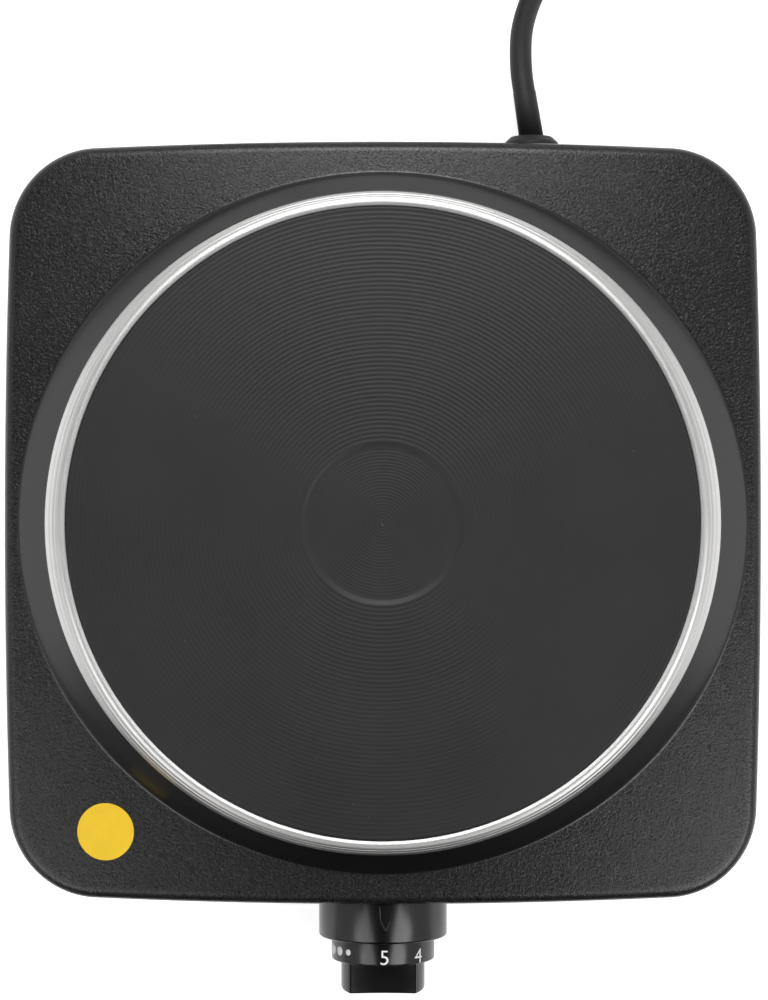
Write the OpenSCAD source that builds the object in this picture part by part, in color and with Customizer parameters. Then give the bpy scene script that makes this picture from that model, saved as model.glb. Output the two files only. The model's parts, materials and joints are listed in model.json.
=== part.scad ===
// Single electric hot plate with a cast-iron cooking plate, a spill ring,
// a black steel housing, a turning heat knob and a mains lead.
// +Z is up, the knob is at the front (-Y), and the table is z = 0.

/* [Housing] */
// Width of the housing across the middle of its sides
body_w = 227; // [216:1:250]
// Depth of the housing, front to back
body_d = 227; // [216:1:250]
// How far each side bulges out at its middle
side_bulge = 1.4; // [0.8:0.1:2.4]
// Radius of the upright corners
corner_r = 27; // [22:1:32]
// Thickness of the housing's sheet steel
sheet_t = 1.2; // [0.8:0.1:1.6]
// Height of the wall's lower edge above the table
skirt_z = 7; // [5:0.5:7.5]
// Height of the arched top along its middle line
top_z = 54.5; // [52:0.5:56]
// How much lower the arch is at its left and right edges
arch_drop = 6.5; // [3:0.5:8]
// Radius of the rounded top edge
top_edge_r = 3; // [2:0.5:5]

/* [Platform] */
// Height of the flat platform that carries the spill ring
platform_z = 61; // [59:0.5:64]
// Radius of the platform where its sloped side begins
platform_r = 99.3; // [99:0.1:102]
// How far the platform's side runs outwards for each millimetre down
platform_flare = 0.68; // [0.4:0.02:0.8]
// Radius of the opening for the plate
opening_r = 89; // [88.5:0.1:90]

/* [Cooking plate] */
// Diameter of the cooking plate
plate_d = 185; // [182:0.5:186]
// Height of the cooking face above the table
plate_z = 68; // [67:0.5:72]
// Radius of the plate's thick body below its rim
plate_body_r = 86.5; // [85:0.5:87.5]
// Height of the plate's underside above the table
plate_under_z = 51; // [50:0.5:52]
// Rounding of the plate's upper edge
plate_edge_r = 0.8; // [0.4:0.1:1.5]
// Radius of the shallow recess in the middle of the cooking face
recess_r = 23.3; // [20:0.1:26]
// Depth of that recess
recess_depth = 0.4; // [0.2:0.1:0.8]
// Depth of the channels that hold the heating coils
channel_depth = 9; // [7:0.5:10]
// Width of those channels
channel_w = 14; // [10:0.5:15]
// Radius of the coiled resistance wire
coil_r = 2.5; // [1.5:0.1:3.5]
// Radius of the wire ends that come down from the coils
lead_r = 1; // [0.6:0.1:1.2]
// Thickness of the cover sheet under the plate
cover_t = 0.6; // [0.4:0.1:1]

/* [Spill ring] */
// Sheet thickness of the spill ring
ring_t = 0.6; // [0.4:0.1:0.8]
// Gap between the cooking plate and the ring
ring_gap = 0.2; // [0.1:0.05:0.4]
// How far the ring's crown stays below the cooking face
ring_below = 1.2; // [0.5:0.1:2]
// Width of the ring's flat crown
crown_w = 2.6; // [1.5:0.1:3.2]
// Outer radius of the spill ring
ring_r = 98.8; // [98:0.1:98.9]

/* [Plate clamp] */
// Radius of the threaded stud in the plate's middle
stud_r = 3; // [2.5:0.5:4]
// Width of the clamp bridge
bridge_w = 22; // [16:1:26]
// Thickness of the clamp bridge
bridge_t = 2; // [1.5:0.5:3]
// Height of the bridge's underside above the table
bridge_z = 44; // [42:0.5:45]
// Thickness of the clamp washer
washer_t = 1.2; // [0.8:0.1:2]
// Height of the clamp nut
nut_h = 5; // [4:0.5:6]
// Width of the clamp nut across its corners
nut_w = 11.5; // [11:0.5:14]

/* [Base] */
// Height of a rubber foot
foot_h = 8; // [7.5:0.5:12]
// Diameter of a rubber foot
foot_d = 18; // [16:1:22]
// Distance of each foot's axis from the middle, left to right and front to back
foot_place = 80; // [74:1:84]
// Thickness of the base plate
base_t = 1.2; // [0.8:0.1:1.6]
// Gap all round between the base plate and the housing wall
base_gap = 0.3; // [0.2:0.1:0.5]
// Radius of the foot screws
foot_screw_r = 2; // [1.5:0.25:2.5]
// Thickness of the corner brackets
bracket_t = 1.5; // [1:0.5:2]
// Width of the corner brackets
bracket_w = 14; // [12:1:18]
// Height of the corner brackets' upright legs
bracket_h = 14; // [10:1:20]

/* [Knob] */
// Height of the knob's axis above the table
knob_z = 31; // [29:0.5:32]
// Outer diameter of the fixed collar round the knob
bezel_d = 39; // [37:0.5:42]
// How far the collar stands out from the front wall
bezel_reach = 12.3; // [11:0.1:14]
// Thickness of the collar's back web
bezel_web = 2; // [1.5:0.5:3]
// Diameter of the knob's skirt, which carries the scale
skirt_d = 31.3; // [30:0.1:32]
// Gap between the skirt and the collar
skirt_gap = 0.4; // [0.3:0.05:0.6]
// How far the front of the skirt is from the front wall
skirt_reach = 19.4; // [18:0.1:21]
// How far the back of the skirt is from the front wall
skirt_back = 8.3; // [8:0.1:9]
// Length of the grip bar across the knob
grip_w = 25.5; // [24:0.5:28]
// Thickness of the grip bar at its ends
grip_t = 16; // [13:0.5:18]
// Radius of the hollow in each long side of the grip
grip_hollow_r = 70; // [60:1:120]
// How far the front of the grip is from the front wall
grip_reach = 29.1; // [27:0.1:32]
// Wall thickness of the hollow skirt
skirt_wall = 2.2; // [1.8:0.1:3]
// Thickness of the skirt's front wall
skirt_front_t = 3; // [2:0.5:4]
// Radius of the hub inside the knob
hub_r = 5.5; // [5:0.25:6.5]

/* [Thermostat] */
// Radius of the control shaft
shaft_r = 3; // [2.5:0.25:3.25]
// Running clearance of turning and sliding pieces
run_gap = 0.05; // [0.03:0.01:0.08]
// Outer radius of the threaded bush
bush_r = 5; // [4.5:0.25:5.5]
// How far the bush stands out from the front wall
bush_reach = 7; // [6.5:0.1:7.5]
// Thickness of the nut on the bush
bush_nut_t = 3.5; // [2.5:0.5:4]
// Width of that nut across its corners
bush_nut_w = 16; // [15:0.5:20]
// Thickness of the thermostat's mounting plate
frame_t = 1.5; // [1:0.25:2]
// Distance of the contact stack's axis from the shaft
stack_x = 16; // [14:0.5:20]
// Radius of the ceramic spacers
spacer_r = 4.5; // [4:0.25:5]
// Radius of the rivet through the stack
rivet_r = 1.5; // [1:0.25:2]
// Width of the contact springs and the bimetal strip
blade_w = 7; // [5:0.5:8]
// Radius of the adjuster pin
adjuster_r = 1.2; // [1:0.1:1.4]
// Gap between the adjuster pin and the first contact spring
adjuster_gap = 0.5; // [0.4:0.05:0.8]

/* [Pilot lamp] */
// Distance of the lamp to the left of the knob
lamp_x = 48; // [40:1:60]
// Radius of the lamp's body
lamp_r = 4.8; // [4:0.1:6]
// How far the lens rim overlaps the hole
lamp_rim = 1.2; // [0.8:0.1:2]
// How far the lens stands out from the wall
lamp_proud = 0.8; // [0.5:0.1:1.2]
// Length of the lamp's body behind the wall
lamp_len = 22; // [15:1:28]

/* [Mains lead] */
// Diameter of the lead
cord_d = 6.8; // [6.8:0.1:7]
// Place of the gland, to the right of the middle
gland_x = 45.8; // [44:0.2:48]
// Height of the gland's axis above the table
gland_z = 22; // [21:0.5:24]
// Diameter of the gland's flange at the wall
gland_d = 16.8; // [15:0.1:19]
// How far the flange stands out from the wall
gland_reach = 5.4; // [4:0.1:6]
// Radius of the gland's neck in the wall
neck_r = 6; // [5.5:0.1:6.5]
// Length of the bending sleeve beyond the flange
sleeve_len = 13.7; // [13:0.1:15]
// Radius of the sleeve at its outer end
sleeve_end_r = 3.9; // [3.8:0.1:4.4]
// Thickness of the tie round the coiled lead
tie_t = 0.7; // [0.5:0.1:1]
// Width of that tie
tie_w = 8; // [5:1:12]
// Radius of the plug's round front
plug_r = 18.5; // [18:0.5:19]
// Length of the plug's moulded body
plug_len = 34; // [30:1:38]
// Length of the tapered sleeve at the back of the plug
plug_sleeve = 24; // [20:1:30]
// Radius of the plug's pins
pin_r = 2.4; // [2:0.1:2.4]
// Length of the plug's pins
pin_len = 19; // [17:0.5:19]
// Distance between the plug's two pins
pin_pitch = 19; // [18:0.5:19]

/* [Patch] */
// Diameter of the plain round patch on the front left corner
patch_d = 17; // [12:0.5:20]
// Thickness of the patch
patch_t = 0.2; // [0.1:0.05:0.4]

/* [Hidden] */

$fn = 64;
eps = 0.01;

// The plate's axis lies behind the origin by half of the knob's reach, so that
// the origin is the middle of the whole hot plate.
axis_y = grip_reach/2;
front_y = axis_y - body_d/2;

// Outline of the housing, seen from above and centred on the plate's axis
side_x = body_w/2 - side_bulge;
side_y = body_d/2 - side_bulge;
corner_x = side_x - corner_r;
corner_y = side_y - corner_r;
side_steps = 6;
corner_steps = 8;
arch_steps = 16;

function bow(t) = side_bulge*(1 - t*t);
function turned(p, a) = [p.x*cos(a) - p.y*sin(a), p.x*sin(a) + p.y*cos(a)];
function side_points(far, half, inset) =
    [for (k = [1 - side_steps : side_steps - 1]) [far - inset + bow(k/side_steps), half*k/side_steps]];
function corner_points(x, y, inset, a0) =
    [for (k = [0 : corner_steps]) [x, y] + (corner_r - inset)*[cos(a0 + 90*k/corner_steps), sin(a0 + 90*k/corner_steps)]];
function outline(inset) = concat(
    side_points(side_x, corner_y, inset),
    corner_points(corner_x, corner_y, inset, 0),
    [for (p = side_points(side_y, corner_x, inset)) turned(p, 90)],
    corner_points(-corner_x, corner_y, inset, 90),
    [for (p = side_points(side_x, corner_y, inset)) turned(p, 180)],
    corner_points(-corner_x, -corner_y, inset, 180),
    [for (p = side_points(side_y, corner_x, inset)) turned(p, 270)],
    corner_points(corner_x, -corner_y, inset, 270)
);

// Height of the arched top at a distance x from the middle line
function arch_z(x, drop) = top_z - drop - arch_drop*pow(2*x/body_w, 2);

// Outer faces of the front and back walls at a distance x from the middle line
function front_face(x) = axis_y - side_y - bow(x/corner_x);
function back_face(x) = axis_y + side_y + bow(x/corner_x);
// Outer face of a side wall at a distance y from the plate's axis
function side_face(y) = y <= corner_y ? side_x + bow(y/corner_y)
    : corner_x + sqrt(corner_r*corner_r - (y - corner_y)*(y - corner_y));

// Smooth route through a list of points, and the tube swept along it
function unit(v) = v/norm(v);
function between(a, b, c, d, u) =
    0.5*(2*b + (c - a)*u + (2*a - 5*b + 4*c - d)*u*u + (3*b - a - 3*c + d)*u*u*u);
function smooth(p, steps) = concat(
    [for (i = [0 : len(p) - 2], k = [0 : steps - 1])
        between(p[max(i - 1, 0)], p[i], p[i + 1], p[min(i + 2, len(p) - 1)], k/steps)],
    [p[len(p) - 1]]
);
function headings(p) =
    [for (i = [0 : len(p) - 1]) unit(p[min(i + 1, len(p) - 1)] - p[max(i - 1, 0)])];
function sideways(t, n, i = 0) =
    let (m = unit(n - (n*t[i])*t[i])) i == len(t) - 1 ? [m] : concat([m], sideways(t, m, i + 1));

tube_sides = 10;

module tube(points, r, steps = 3) {
    path = smooth(points, steps);
    dirs = headings(path);
    across = sideways(dirs, abs(dirs[0].z) > 0.8 ? [1, 0, 0] : [0, 0, 1]);
    last = len(path) - 1;
    rings = [for (i = [0 : last], k = [0 : tube_sides - 1])
        let (a = 360*k/tube_sides, up = cross(dirs[i], across[i]))
        path[i] + r*(cos(a)*across[i] + sin(a)*up)];
    sides = [for (i = [0 : last - 1], k = [0 : tube_sides - 1], half = [0, 1])
        let (m = (k + 1) % tube_sides, a = i*tube_sides, b = a + tube_sides)
        half == 0 ? [a + k, b + k, a + m] : [a + m, b + k, b + m]];
    ends = [
        [for (k = [0 : tube_sides - 1]) k],
        [for (k = [0 : tube_sides - 1]) last*tube_sides + tube_sides - 1 - k]
    ];
    polyhedron(points = rings, faces = concat(sides, ends));
}

// A module's children placed about the plate's axis
module on_plate_axis() translate([0, axis_y, 0]) children();
// A module's children turned so that their +Z points out of the front wall
module out_of_front(x = 0, z = knob_z, y = front_y) translate([x, y, z]) rotate([90, 0, 0]) children();
module ring(r_in, r_out, h) difference() {
    cylinder(r = r_out, h = h);
    translate([0, 0, -1]) cylinder(r = r_in, h = h + 2);
}

// ---- Housing ----

platform_foot_z = top_z - arch_drop - top_edge_r;
wall_across = sheet_t*sqrt(1 + platform_flare*platform_flare);
bush_hole_r = bush_r + 0.1;

module arched_block(inset, drop, from_z) intersection() {
    translate([0, 0, from_z]) linear_extrude(top_z) polygon(outline(inset));
    rotate([90, 0, 0]) linear_extrude(2*body_d, center = true)
        polygon(concat(
            [[-body_w/2, 0]],
            [for (k = [-arch_steps : arch_steps]) let (x = body_w/2*k/arch_steps) [x, arch_z(x, drop)]],
            [[body_w/2, 0]]
        ));
}

module rounded_block(inset, drop, from_z, edge_r) hull()
    for (a = [0 : 30 : 90])
        arched_block(inset + edge_r*(1 - cos(a)), drop + edge_r*(1 - sin(a)), from_z);

module platform_cone(inset, lowered) {
    h = platform_z - lowered - platform_foot_z;
    translate([0, 0, platform_foot_z])
        cylinder(r1 = platform_r - inset + platform_flare*(h + lowered), r2 = platform_r - inset + platform_flare*lowered, h = h);
}

module housing() color([0.10, 0.10, 0.11]) on_plate_axis() difference() {
    union() {
        rounded_block(0, 0, skirt_z, top_edge_r);
        platform_cone(0, 0);
    }
    rounded_block(sheet_t, sheet_t, skirt_z - 1, top_edge_r - sheet_t);
    platform_cone(wall_across, sheet_t);
    cylinder(r = opening_r, h = platform_z + 1);
    translate([0, -body_d/2 + 5, knob_z]) rotate([90, 0, 0]) cylinder(r = bush_hole_r, h = 10);
    translate([-lamp_x, -body_d/2 + 5, knob_z]) rotate([90, 0, 0]) cylinder(r = lamp_r, h = 10);
    translate([gland_x, body_d/2 - 5, gland_z]) rotate([-90, 0, 0]) cylinder(r = neck_r, h = 10);
}

// ---- Base ----

base_inset = sheet_t + base_gap;
base_top = foot_h + base_t;
bracket_top = base_top + bracket_t;
screw_head_h = 2.5;
foot_bore_h = foot_h/2;
// Distance of the lead's clamp from the back wall, and of the earth screw from the clamp
clamp_in = 26.5;
earth_in = 25;
clamp_y = body_d/2 - clamp_in;
earth_at = [64, clamp_y - earth_in];
clamp_screw_r = 1.75;
clamp_half = 12;
clamp_screw_x = 8;
clamp_top = gland_z + cord_d/2 + 3;

module at_feet() for (sx = [-1, 1], sy = [-1, 1])
    translate([sx*foot_place, axis_y + sy*foot_place, 0]) children();

module at_clamp_screws() for (s = [-1, 1])
    translate([gland_x + s*clamp_screw_x, axis_y + clamp_y, 0]) children();

module base_plate() color([0.62, 0.63, 0.65]) difference() {
    on_plate_axis() translate([0, 0, foot_h]) linear_extrude(base_t) polygon(outline(base_inset));
    at_feet() cylinder(r = foot_screw_r, h = 2*foot_h);
    at_clamp_screws() cylinder(r = clamp_screw_r, h = 2*foot_h);
    translate([earth_at.x, axis_y + earth_at.y, 0]) cylinder(r = foot_screw_r, h = 2*foot_h);
}

// Each bracket lies on the base plate and its leg stands against the side wall
module corner_brackets() color([0.70, 0.71, 0.72]) for (sx = [-1, 1], sy = [-1, 1])
    translate([0, axis_y + sy*foot_place, base_top]) scale([sx, 1, 1]) bracket();

leg_x = side_face(foot_place + bracket_w/2) - base_inset;

module bracket() difference() {
    union() {
        translate([foot_place - bracket_w/2, -bracket_w/2, 0])
            cube([leg_x - foot_place + bracket_w/2, bracket_w, bracket_t]);
        translate([leg_x - bracket_t, -bracket_w/2, 0]) cube([bracket_t, bracket_w, bracket_h]);
    }
    translate([foot_place, 0, -1]) cylinder(r = foot_screw_r, h = bracket_t + 2);
}

module feet() color([0.06, 0.06, 0.06]) at_feet() difference() {
    cylinder(r1 = foot_d/2 - 1, r2 = foot_d/2, h = foot_h);
    translate([0, 0, -1]) cylinder(r = foot_screw_r, h = foot_h + 2);
    translate([0, 0, -1]) cylinder(r = 2*foot_screw_r + 0.2, h = foot_bore_h + 1);
}

module foot_screws() color([0.75, 0.75, 0.76]) at_feet() {
    translate([0, 0, foot_bore_h - screw_head_h]) cylinder(r = 2*foot_screw_r, h = screw_head_h);
    translate([0, 0, foot_bore_h - eps]) cylinder(r = foot_screw_r, h = bracket_top + 3 - foot_bore_h);
}

// ---- Cooking plate and spill ring ----

plate_r = plate_d/2;
seat_z = platform_z + ring_t;
channels = [34, 54, 74];
coil_z = plate_under_z + channel_depth/2;
stud_depth = 7;
cover_z = plate_under_z - cover_t;

module hob_plate() color([0.22, 0.22, 0.23]) on_plate_axis() difference() {
    rotate_extrude() polygon(concat(
        [[0, plate_under_z], [plate_body_r, plate_under_z], [plate_body_r, seat_z], [plate_r, seat_z]],
        [for (a = [0 : 30 : 90]) [plate_r - plate_edge_r, plate_z - plate_edge_r] + plate_edge_r*[cos(a), sin(a)]],
        [[recess_r + 1, plate_z], [recess_r - 1, plate_z - recess_depth], [0, plate_z - recess_depth]]
    ));
    for (r = channels) translate([0, 0, plate_under_z - 1])
        ring(r - channel_w/2, r + channel_w/2, channel_depth + 1);
    translate([0, 0, plate_under_z - 1]) cylinder(r = stud_r, h = stud_depth + 1);
}

// Coiled wires and the ends that lead down from them into the terminal block
module heating_coils() color([0.60, 0.58, 0.55]) on_plate_axis() coil_shapes();

module coil_shapes() for (r = channels) {
    rotate_extrude() translate([r, coil_z]) circle(r = coil_r);
    translate([0, r, block_z + block_h - lead_depth]) cylinder(r = lead_r, h = coil_z - block_z - block_h + lead_depth);
}

module insulation_rings() color([0.90, 0.88, 0.82]) on_plate_axis() difference() {
    for (r = channels) translate([0, 0, plate_under_z])
        ring(r - channel_w/2, r + channel_w/2, channel_depth);
    coil_shapes();
}

module plate_cover() color([0.78, 0.78, 0.80]) on_plate_axis() difference() {
    translate([0, 0, cover_z]) cylinder(r = plate_body_r - 1, h = cover_t);
    translate([0, 0, cover_z - 1]) cylinder(r = stud_r + 0.2, h = cover_t + 2);
    for (r = channels) translate([0, r, cover_z - 1]) cylinder(r = 2*lead_r, h = cover_t + 2);
    at_cutout_screws() cylinder(r = cutout_screw_r, h = plate_z);
}

module spill_ring() color([0.80, 0.81, 0.82]) on_plate_axis() {
    in_r = plate_r + ring_gap;
    crown_z = plate_z - ring_below;
    out_r = in_r + crown_w;
    rotate_extrude() polygon([
        [opening_r - 1, platform_z], [in_r + ring_t, platform_z], [in_r + ring_t, crown_z - ring_t],
        [out_r - ring_t/2, crown_z - ring_t], [ring_r - 1.2*ring_t, platform_z], [ring_r, platform_z],
        [out_r, crown_z], [in_r + ring_t, crown_z], [in_r, crown_z - ring_t],
        [in_r, seat_z], [opening_r - 1, seat_z]
    ]);
}

// ---- Clamp that pulls the plate and ring down on the housing ----

bridge_end = platform_z - sheet_t;
leg_at = opening_r + 2;
foot_len = 4.5;

module center_stud() color([0.72, 0.72, 0.73]) on_plate_axis()
    translate([0, 0, bridge_z - washer_t - nut_h - 2])
        cylinder(r = stud_r, h = plate_under_z + stud_depth - bridge_z + washer_t + nut_h + 2);

half_bridge = [
    [leg_at + bridge_t, bridge_z], [leg_at + bridge_t, bridge_end - bridge_t],
    [leg_at + foot_len, bridge_end - bridge_t], [leg_at + foot_len, bridge_end],
    [leg_at, bridge_end], [leg_at, bridge_z + bridge_t]
];

module clamp_bridge() color([0.68, 0.68, 0.70]) on_plate_axis() difference() {
    rotate([90, 0, 0]) linear_extrude(bridge_w, center = true)
        polygon(concat(half_bridge, [for (k = [len(half_bridge) - 1 : -1 : 0]) [-half_bridge[k].x, half_bridge[k].y]]));
    translate([0, 0, bridge_z - 1]) cylinder(r = stud_r + 0.2, h = bridge_t + 2);
}

module clamp_washer() color([0.75, 0.75, 0.76]) on_plate_axis()
    translate([0, 0, bridge_z - washer_t]) ring(stud_r, 2.6*stud_r, washer_t);

module clamp_nut() color([0.75, 0.75, 0.76]) on_plate_axis()
    translate([0, 0, bridge_z - washer_t - nut_h]) difference() {
        cylinder(d = nut_w, h = nut_h, $fn = 6);
        translate([0, 0, -1]) cylinder(r = stud_r, h = nut_h + 2);
    }

// ---- Terminal block and thermal cutout under the plate ----

block_w = 16;
block_l = 60;
block_h = 10;
block_y = channels[1];
block_z = cover_z - block_h;
lead_depth = 6;
block_screw_r = 1.5;
cutout_at = [-40, -35];
cutout_r = 8;
cutout_h = 7;
ear_t = 1;
ear_half = 13;
cutout_screw_r = 1.5;
ear_screw_x = 10.5;

module at_block_screws() for (r = channels)
    translate([block_w/2, r, block_z + block_h/2]) rotate([0, -90, 0]) children();

module at_cutout_screws() for (s = [-1, 1])
    translate([cutout_at.x + s*ear_screw_x, cutout_at.y, 0]) children();

module terminal_block() color([0.92, 0.90, 0.84]) on_plate_axis() difference() {
    translate([-block_w/2, block_y - block_l/2, block_z]) cube([block_w, block_l, block_h]);
    for (r = channels) translate([0, r, block_z + block_h - lead_depth]) cylinder(r = lead_r, h = lead_depth + 1);
    at_block_screws() translate([0, 0, -1]) cylinder(r = block_screw_r, h = block_w/2 - lead_r + 1);
}

module terminal_screws() color([0.80, 0.66, 0.30]) on_plate_axis() at_block_screws() {
    cylinder(r = block_screw_r, h = block_w/2 - lead_r);
    translate([0, 0, -2]) cylinder(r = 2*block_screw_r, h = 2);
}

module thermal_cutout() color([0.85, 0.82, 0.75]) on_plate_axis() difference() {
    union() {
        translate([cutout_at.x, cutout_at.y, cover_z - ear_t - cutout_h]) cylinder(r = cutout_r, h = cutout_h + ear_t);
        translate([cutout_at.x - ear_half, cutout_at.y - 3, cover_z - ear_t]) cube([2*ear_half, 6, ear_t]);
    }
    at_cutout_screws() cylinder(r = cutout_screw_r, h = plate_z);
}

module cutout_screws() color([0.75, 0.75, 0.76]) on_plate_axis() at_cutout_screws() {
    translate([0, 0, cover_z - ear_t - 1.5]) cylinder(r = 1.6*cutout_screw_r, h = 1.5);
    translate([0, 0, cover_z - ear_t - eps]) cylinder(r = cutout_screw_r, h = ear_t + cover_t);
}

// ---- Thermostat ----

seat_gap = 0.05;
frame_lo = -12;
frame_hi = stack_x + 6;
// The mounting plate touches the bowed front wall at its outer end
inner_y = front_face(frame_hi) + sheet_t + seat_gap;
frame_back = inner_y + frame_t;
frame_half_h = 12;
// Distances from the back of the mounting plate to each layer of the stack
moving_at = 4;
moving_t = 0.4;
fixed_at = 7;
fixed_t = 0.5;
bimetal_at = 10.5;
bimetal_t = 0.8;
stack_end = 14;
contact_x = -9;
contact_gap = 0.2;
contact_r = 2;
shaft_short = 0.4;
shaft_inside = 0.5;
shaft_front = skirt_reach - skirt_front_t - shaft_short;
shaft_len = frame_back + shaft_inside - front_y + shaft_front;
flat_len = 7;
flat_at = 2.2;
clip_t = 0.4;
clip_w = 4;
clip_len = 6;
bore_depth = 6;
blade_lo = -12;
blade_hi = stack_x + spacer_r;
tab_top = 11;
tab_len = 8;

// Places children on the shaft's axis with +Z running inwards from the mounting plate's back
module inwards(x = 0, s = 0) translate([x, frame_back + s, knob_z]) rotate([-90, 0, 0]) children();

module blade(lo, hi, s, t) translate([lo, frame_back + s, knob_z - blade_w/2]) cube([hi - lo, t, blade_w]);

module thermostat_frame() color([0.70, 0.70, 0.68]) difference() {
    union() {
        translate([frame_lo, inner_y, knob_z - frame_half_h]) cube([frame_hi - frame_lo, frame_t, 2*frame_half_h]);
        out_of_front(y = inner_y + eps) cylinder(r = bush_r, h = inner_y - front_y + bush_reach);
    }
    out_of_front(y = frame_back + 1) cylinder(r = shaft_r + run_gap, h = frame_back - front_y + bush_reach + 2);
    inwards(stack_x, -frame_t - 1) cylinder(r = rivet_r, h = frame_t + 2);
}

module bush_nut() color([0.78, 0.78, 0.79]) out_of_front(y = front_y - bezel_web) difference() {
    cylinder(d = bush_nut_w, h = bush_nut_t, $fn = 6);
    translate([0, 0, -1]) cylinder(r = bush_r, h = bush_nut_t + 2);
}

module stack_ceramics() color([0.93, 0.91, 0.86]) {
    layers = [
        [0, moving_at],
        [moving_at + moving_t, fixed_at],
        [fixed_at + fixed_t, bimetal_at],
        [bimetal_at + bimetal_t, stack_end]
    ];
    for (s = layers) inwards(stack_x, s[0]) ring(rivet_r, spacer_r, s[1] - s[0]);
}

module stack_rivet() color([0.70, 0.70, 0.70]) {
    inwards(stack_x, -frame_t) cylinder(r = rivet_r, h = stack_end + frame_t + 1);
    inwards(stack_x, stack_end) cylinder(r = 2*rivet_r, h = 1.5);
}

module bimetal_strip() color([0.66, 0.60, 0.50]) difference() {
    blade(blade_lo, blade_hi, bimetal_at, bimetal_t);
    inwards(stack_x, bimetal_at - 1) cylinder(r = rivet_r, h = bimetal_t + 2);
}

module contact_springs() color([0.82, 0.62, 0.36]) {
    difference() {
        union() {
            blade(blade_lo, blade_hi, moving_at, moving_t);
            translate([stack_x - blade_w/2, frame_back + moving_at, knob_z]) cube([blade_w, moving_t, tab_top]);
        }
        inwards(stack_x, moving_at - 1) cylinder(r = rivet_r, h = moving_t + 2);
    }
    difference() {
        blade(blade_lo, blade_hi + tab_len, fixed_at, fixed_t);
        inwards(stack_x, fixed_at - 1) cylinder(r = rivet_r, h = fixed_t + 2);
    }
}

module contact_rivets() color([0.85, 0.85, 0.86]) {
    contact_t = (fixed_at - moving_at - moving_t - contact_gap)/2;
    inwards(contact_x, moving_at + moving_t) cylinder(r = contact_r, h = contact_t);
    inwards(contact_x, fixed_at - contact_t) cylinder(r = contact_r, h = contact_t);
}

// The shaft's cross-section where the knob sits on it, with its flat towards +Y here
module shaft_flat() difference() {
    circle(r = shaft_r);
    translate([-shaft_r - 1, flat_at]) square([2*shaft_r + 2, shaft_r]);
}

module control_shaft() color([0.76, 0.76, 0.77]) difference() {
    union() {
        out_of_front(y = frame_back + shaft_inside) cylinder(r = shaft_r, h = shaft_len - flat_len);
        out_of_front(y = frame_back + shaft_inside - shaft_len + flat_len + eps)
            linear_extrude(flat_len + eps) shaft_flat();
    }
    out_of_front(y = frame_back + shaft_inside + 1) cylinder(r = adjuster_r + run_gap, h = bore_depth + 1);
}

adjuster_in = 3;

module adjuster_pin() color([0.90, 0.88, 0.80]) out_of_front(y = frame_back + moving_at - adjuster_gap)
    cylinder(r = adjuster_r, h = moving_at - adjuster_gap + adjuster_in);

// ---- Knob and its fixed collar ----

clip_front = front_y - shaft_front + 0.5;

module grip_shape() difference() {
    circle(d = grip_w);
    for (s = [-1, 1]) translate([0, s*(grip_t/2 + grip_hollow_r - pow(grip_w/2, 2)/(2*grip_hollow_r))])
        circle(r = grip_hollow_r);
}

module knob() color([0.05, 0.05, 0.06]) difference() {
    union() {
        difference() {
            out_of_front(y = front_y - skirt_back) cylinder(d = skirt_d, h = skirt_reach - skirt_back);
            out_of_front(y = front_y - skirt_back + 1)
                cylinder(r = skirt_d/2 - skirt_wall, h = skirt_reach - skirt_back + 1 - skirt_front_t);
        }
        out_of_front(y = front_y - skirt_back - 1) cylinder(r = hub_r, h = skirt_reach - skirt_back - 1);
        out_of_front(y = front_y - skirt_reach + eps) linear_extrude(grip_reach - skirt_reach + eps) grip_shape();
    }
    out_of_front(y = front_y - skirt_back) linear_extrude(shaft_front - skirt_back) shaft_flat();
    translate([-clip_w/2, clip_front, knob_z + flat_at]) cube([clip_w, clip_len, clip_t]);
}

module knob_spring_clip() color([0.70, 0.71, 0.73])
    translate([-clip_w/2, clip_front, knob_z + flat_at]) cube([clip_w, clip_len, clip_t]);

module knob_bezel() color([0.05, 0.05, 0.06]) out_of_front() difference() {
    cylinder(d = bezel_d, h = bezel_reach);
    translate([0, 0, bezel_web]) cylinder(r = skirt_d/2 + skirt_gap, h = bezel_reach);
    translate([0, 0, -1]) cylinder(r = bush_r, h = bezel_web + 2);
}

// ---- Pilot lamp ----

lamp_y = front_face(lamp_x);

module pilot_lamp_lens() color([0.80, 0.10, 0.08]) out_of_front(-lamp_x, knob_z, lamp_y) rotate_extrude() polygon([
    [0, -sheet_t], [lamp_r, -sheet_t], [lamp_r, 0.1], [lamp_r + lamp_rim, 0.1],
    [lamp_r + lamp_rim, lamp_proud/2], [lamp_r, lamp_proud], [0, lamp_proud]
]);

module pilot_lamp_body() color([0.85, 0.85, 0.82]) translate([-lamp_x, lamp_y + sheet_t, knob_z])
    rotate([-90, 0, 0]) cylinder(r = lamp_r - 0.3, h = lamp_len);

// ---- Gland, lead and plug ----

cord_r = cord_d/2;
gland_y = back_face(gland_x);
bush_in = 2.5;
// Way in which the bending sleeve points, and where it ends
sleeve_dir = unit([-2, 13.5, -0.7]);
sleeve_from = [gland_x, gland_y + gland_reach, gland_z];
sleeve_to = sleeve_from + sleeve_len*sleeve_dir;
clamp_w = 10;
tail_start = axis_y + clamp_y - clamp_w/2;

// Turns +Z to the sleeve's direction
module along_sleeve() translate(sleeve_from)
    rotate([0, 0, atan2(sleeve_dir.y, sleeve_dir.x)]) rotate([0, acos(sleeve_dir.z), 0]) children();

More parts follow.
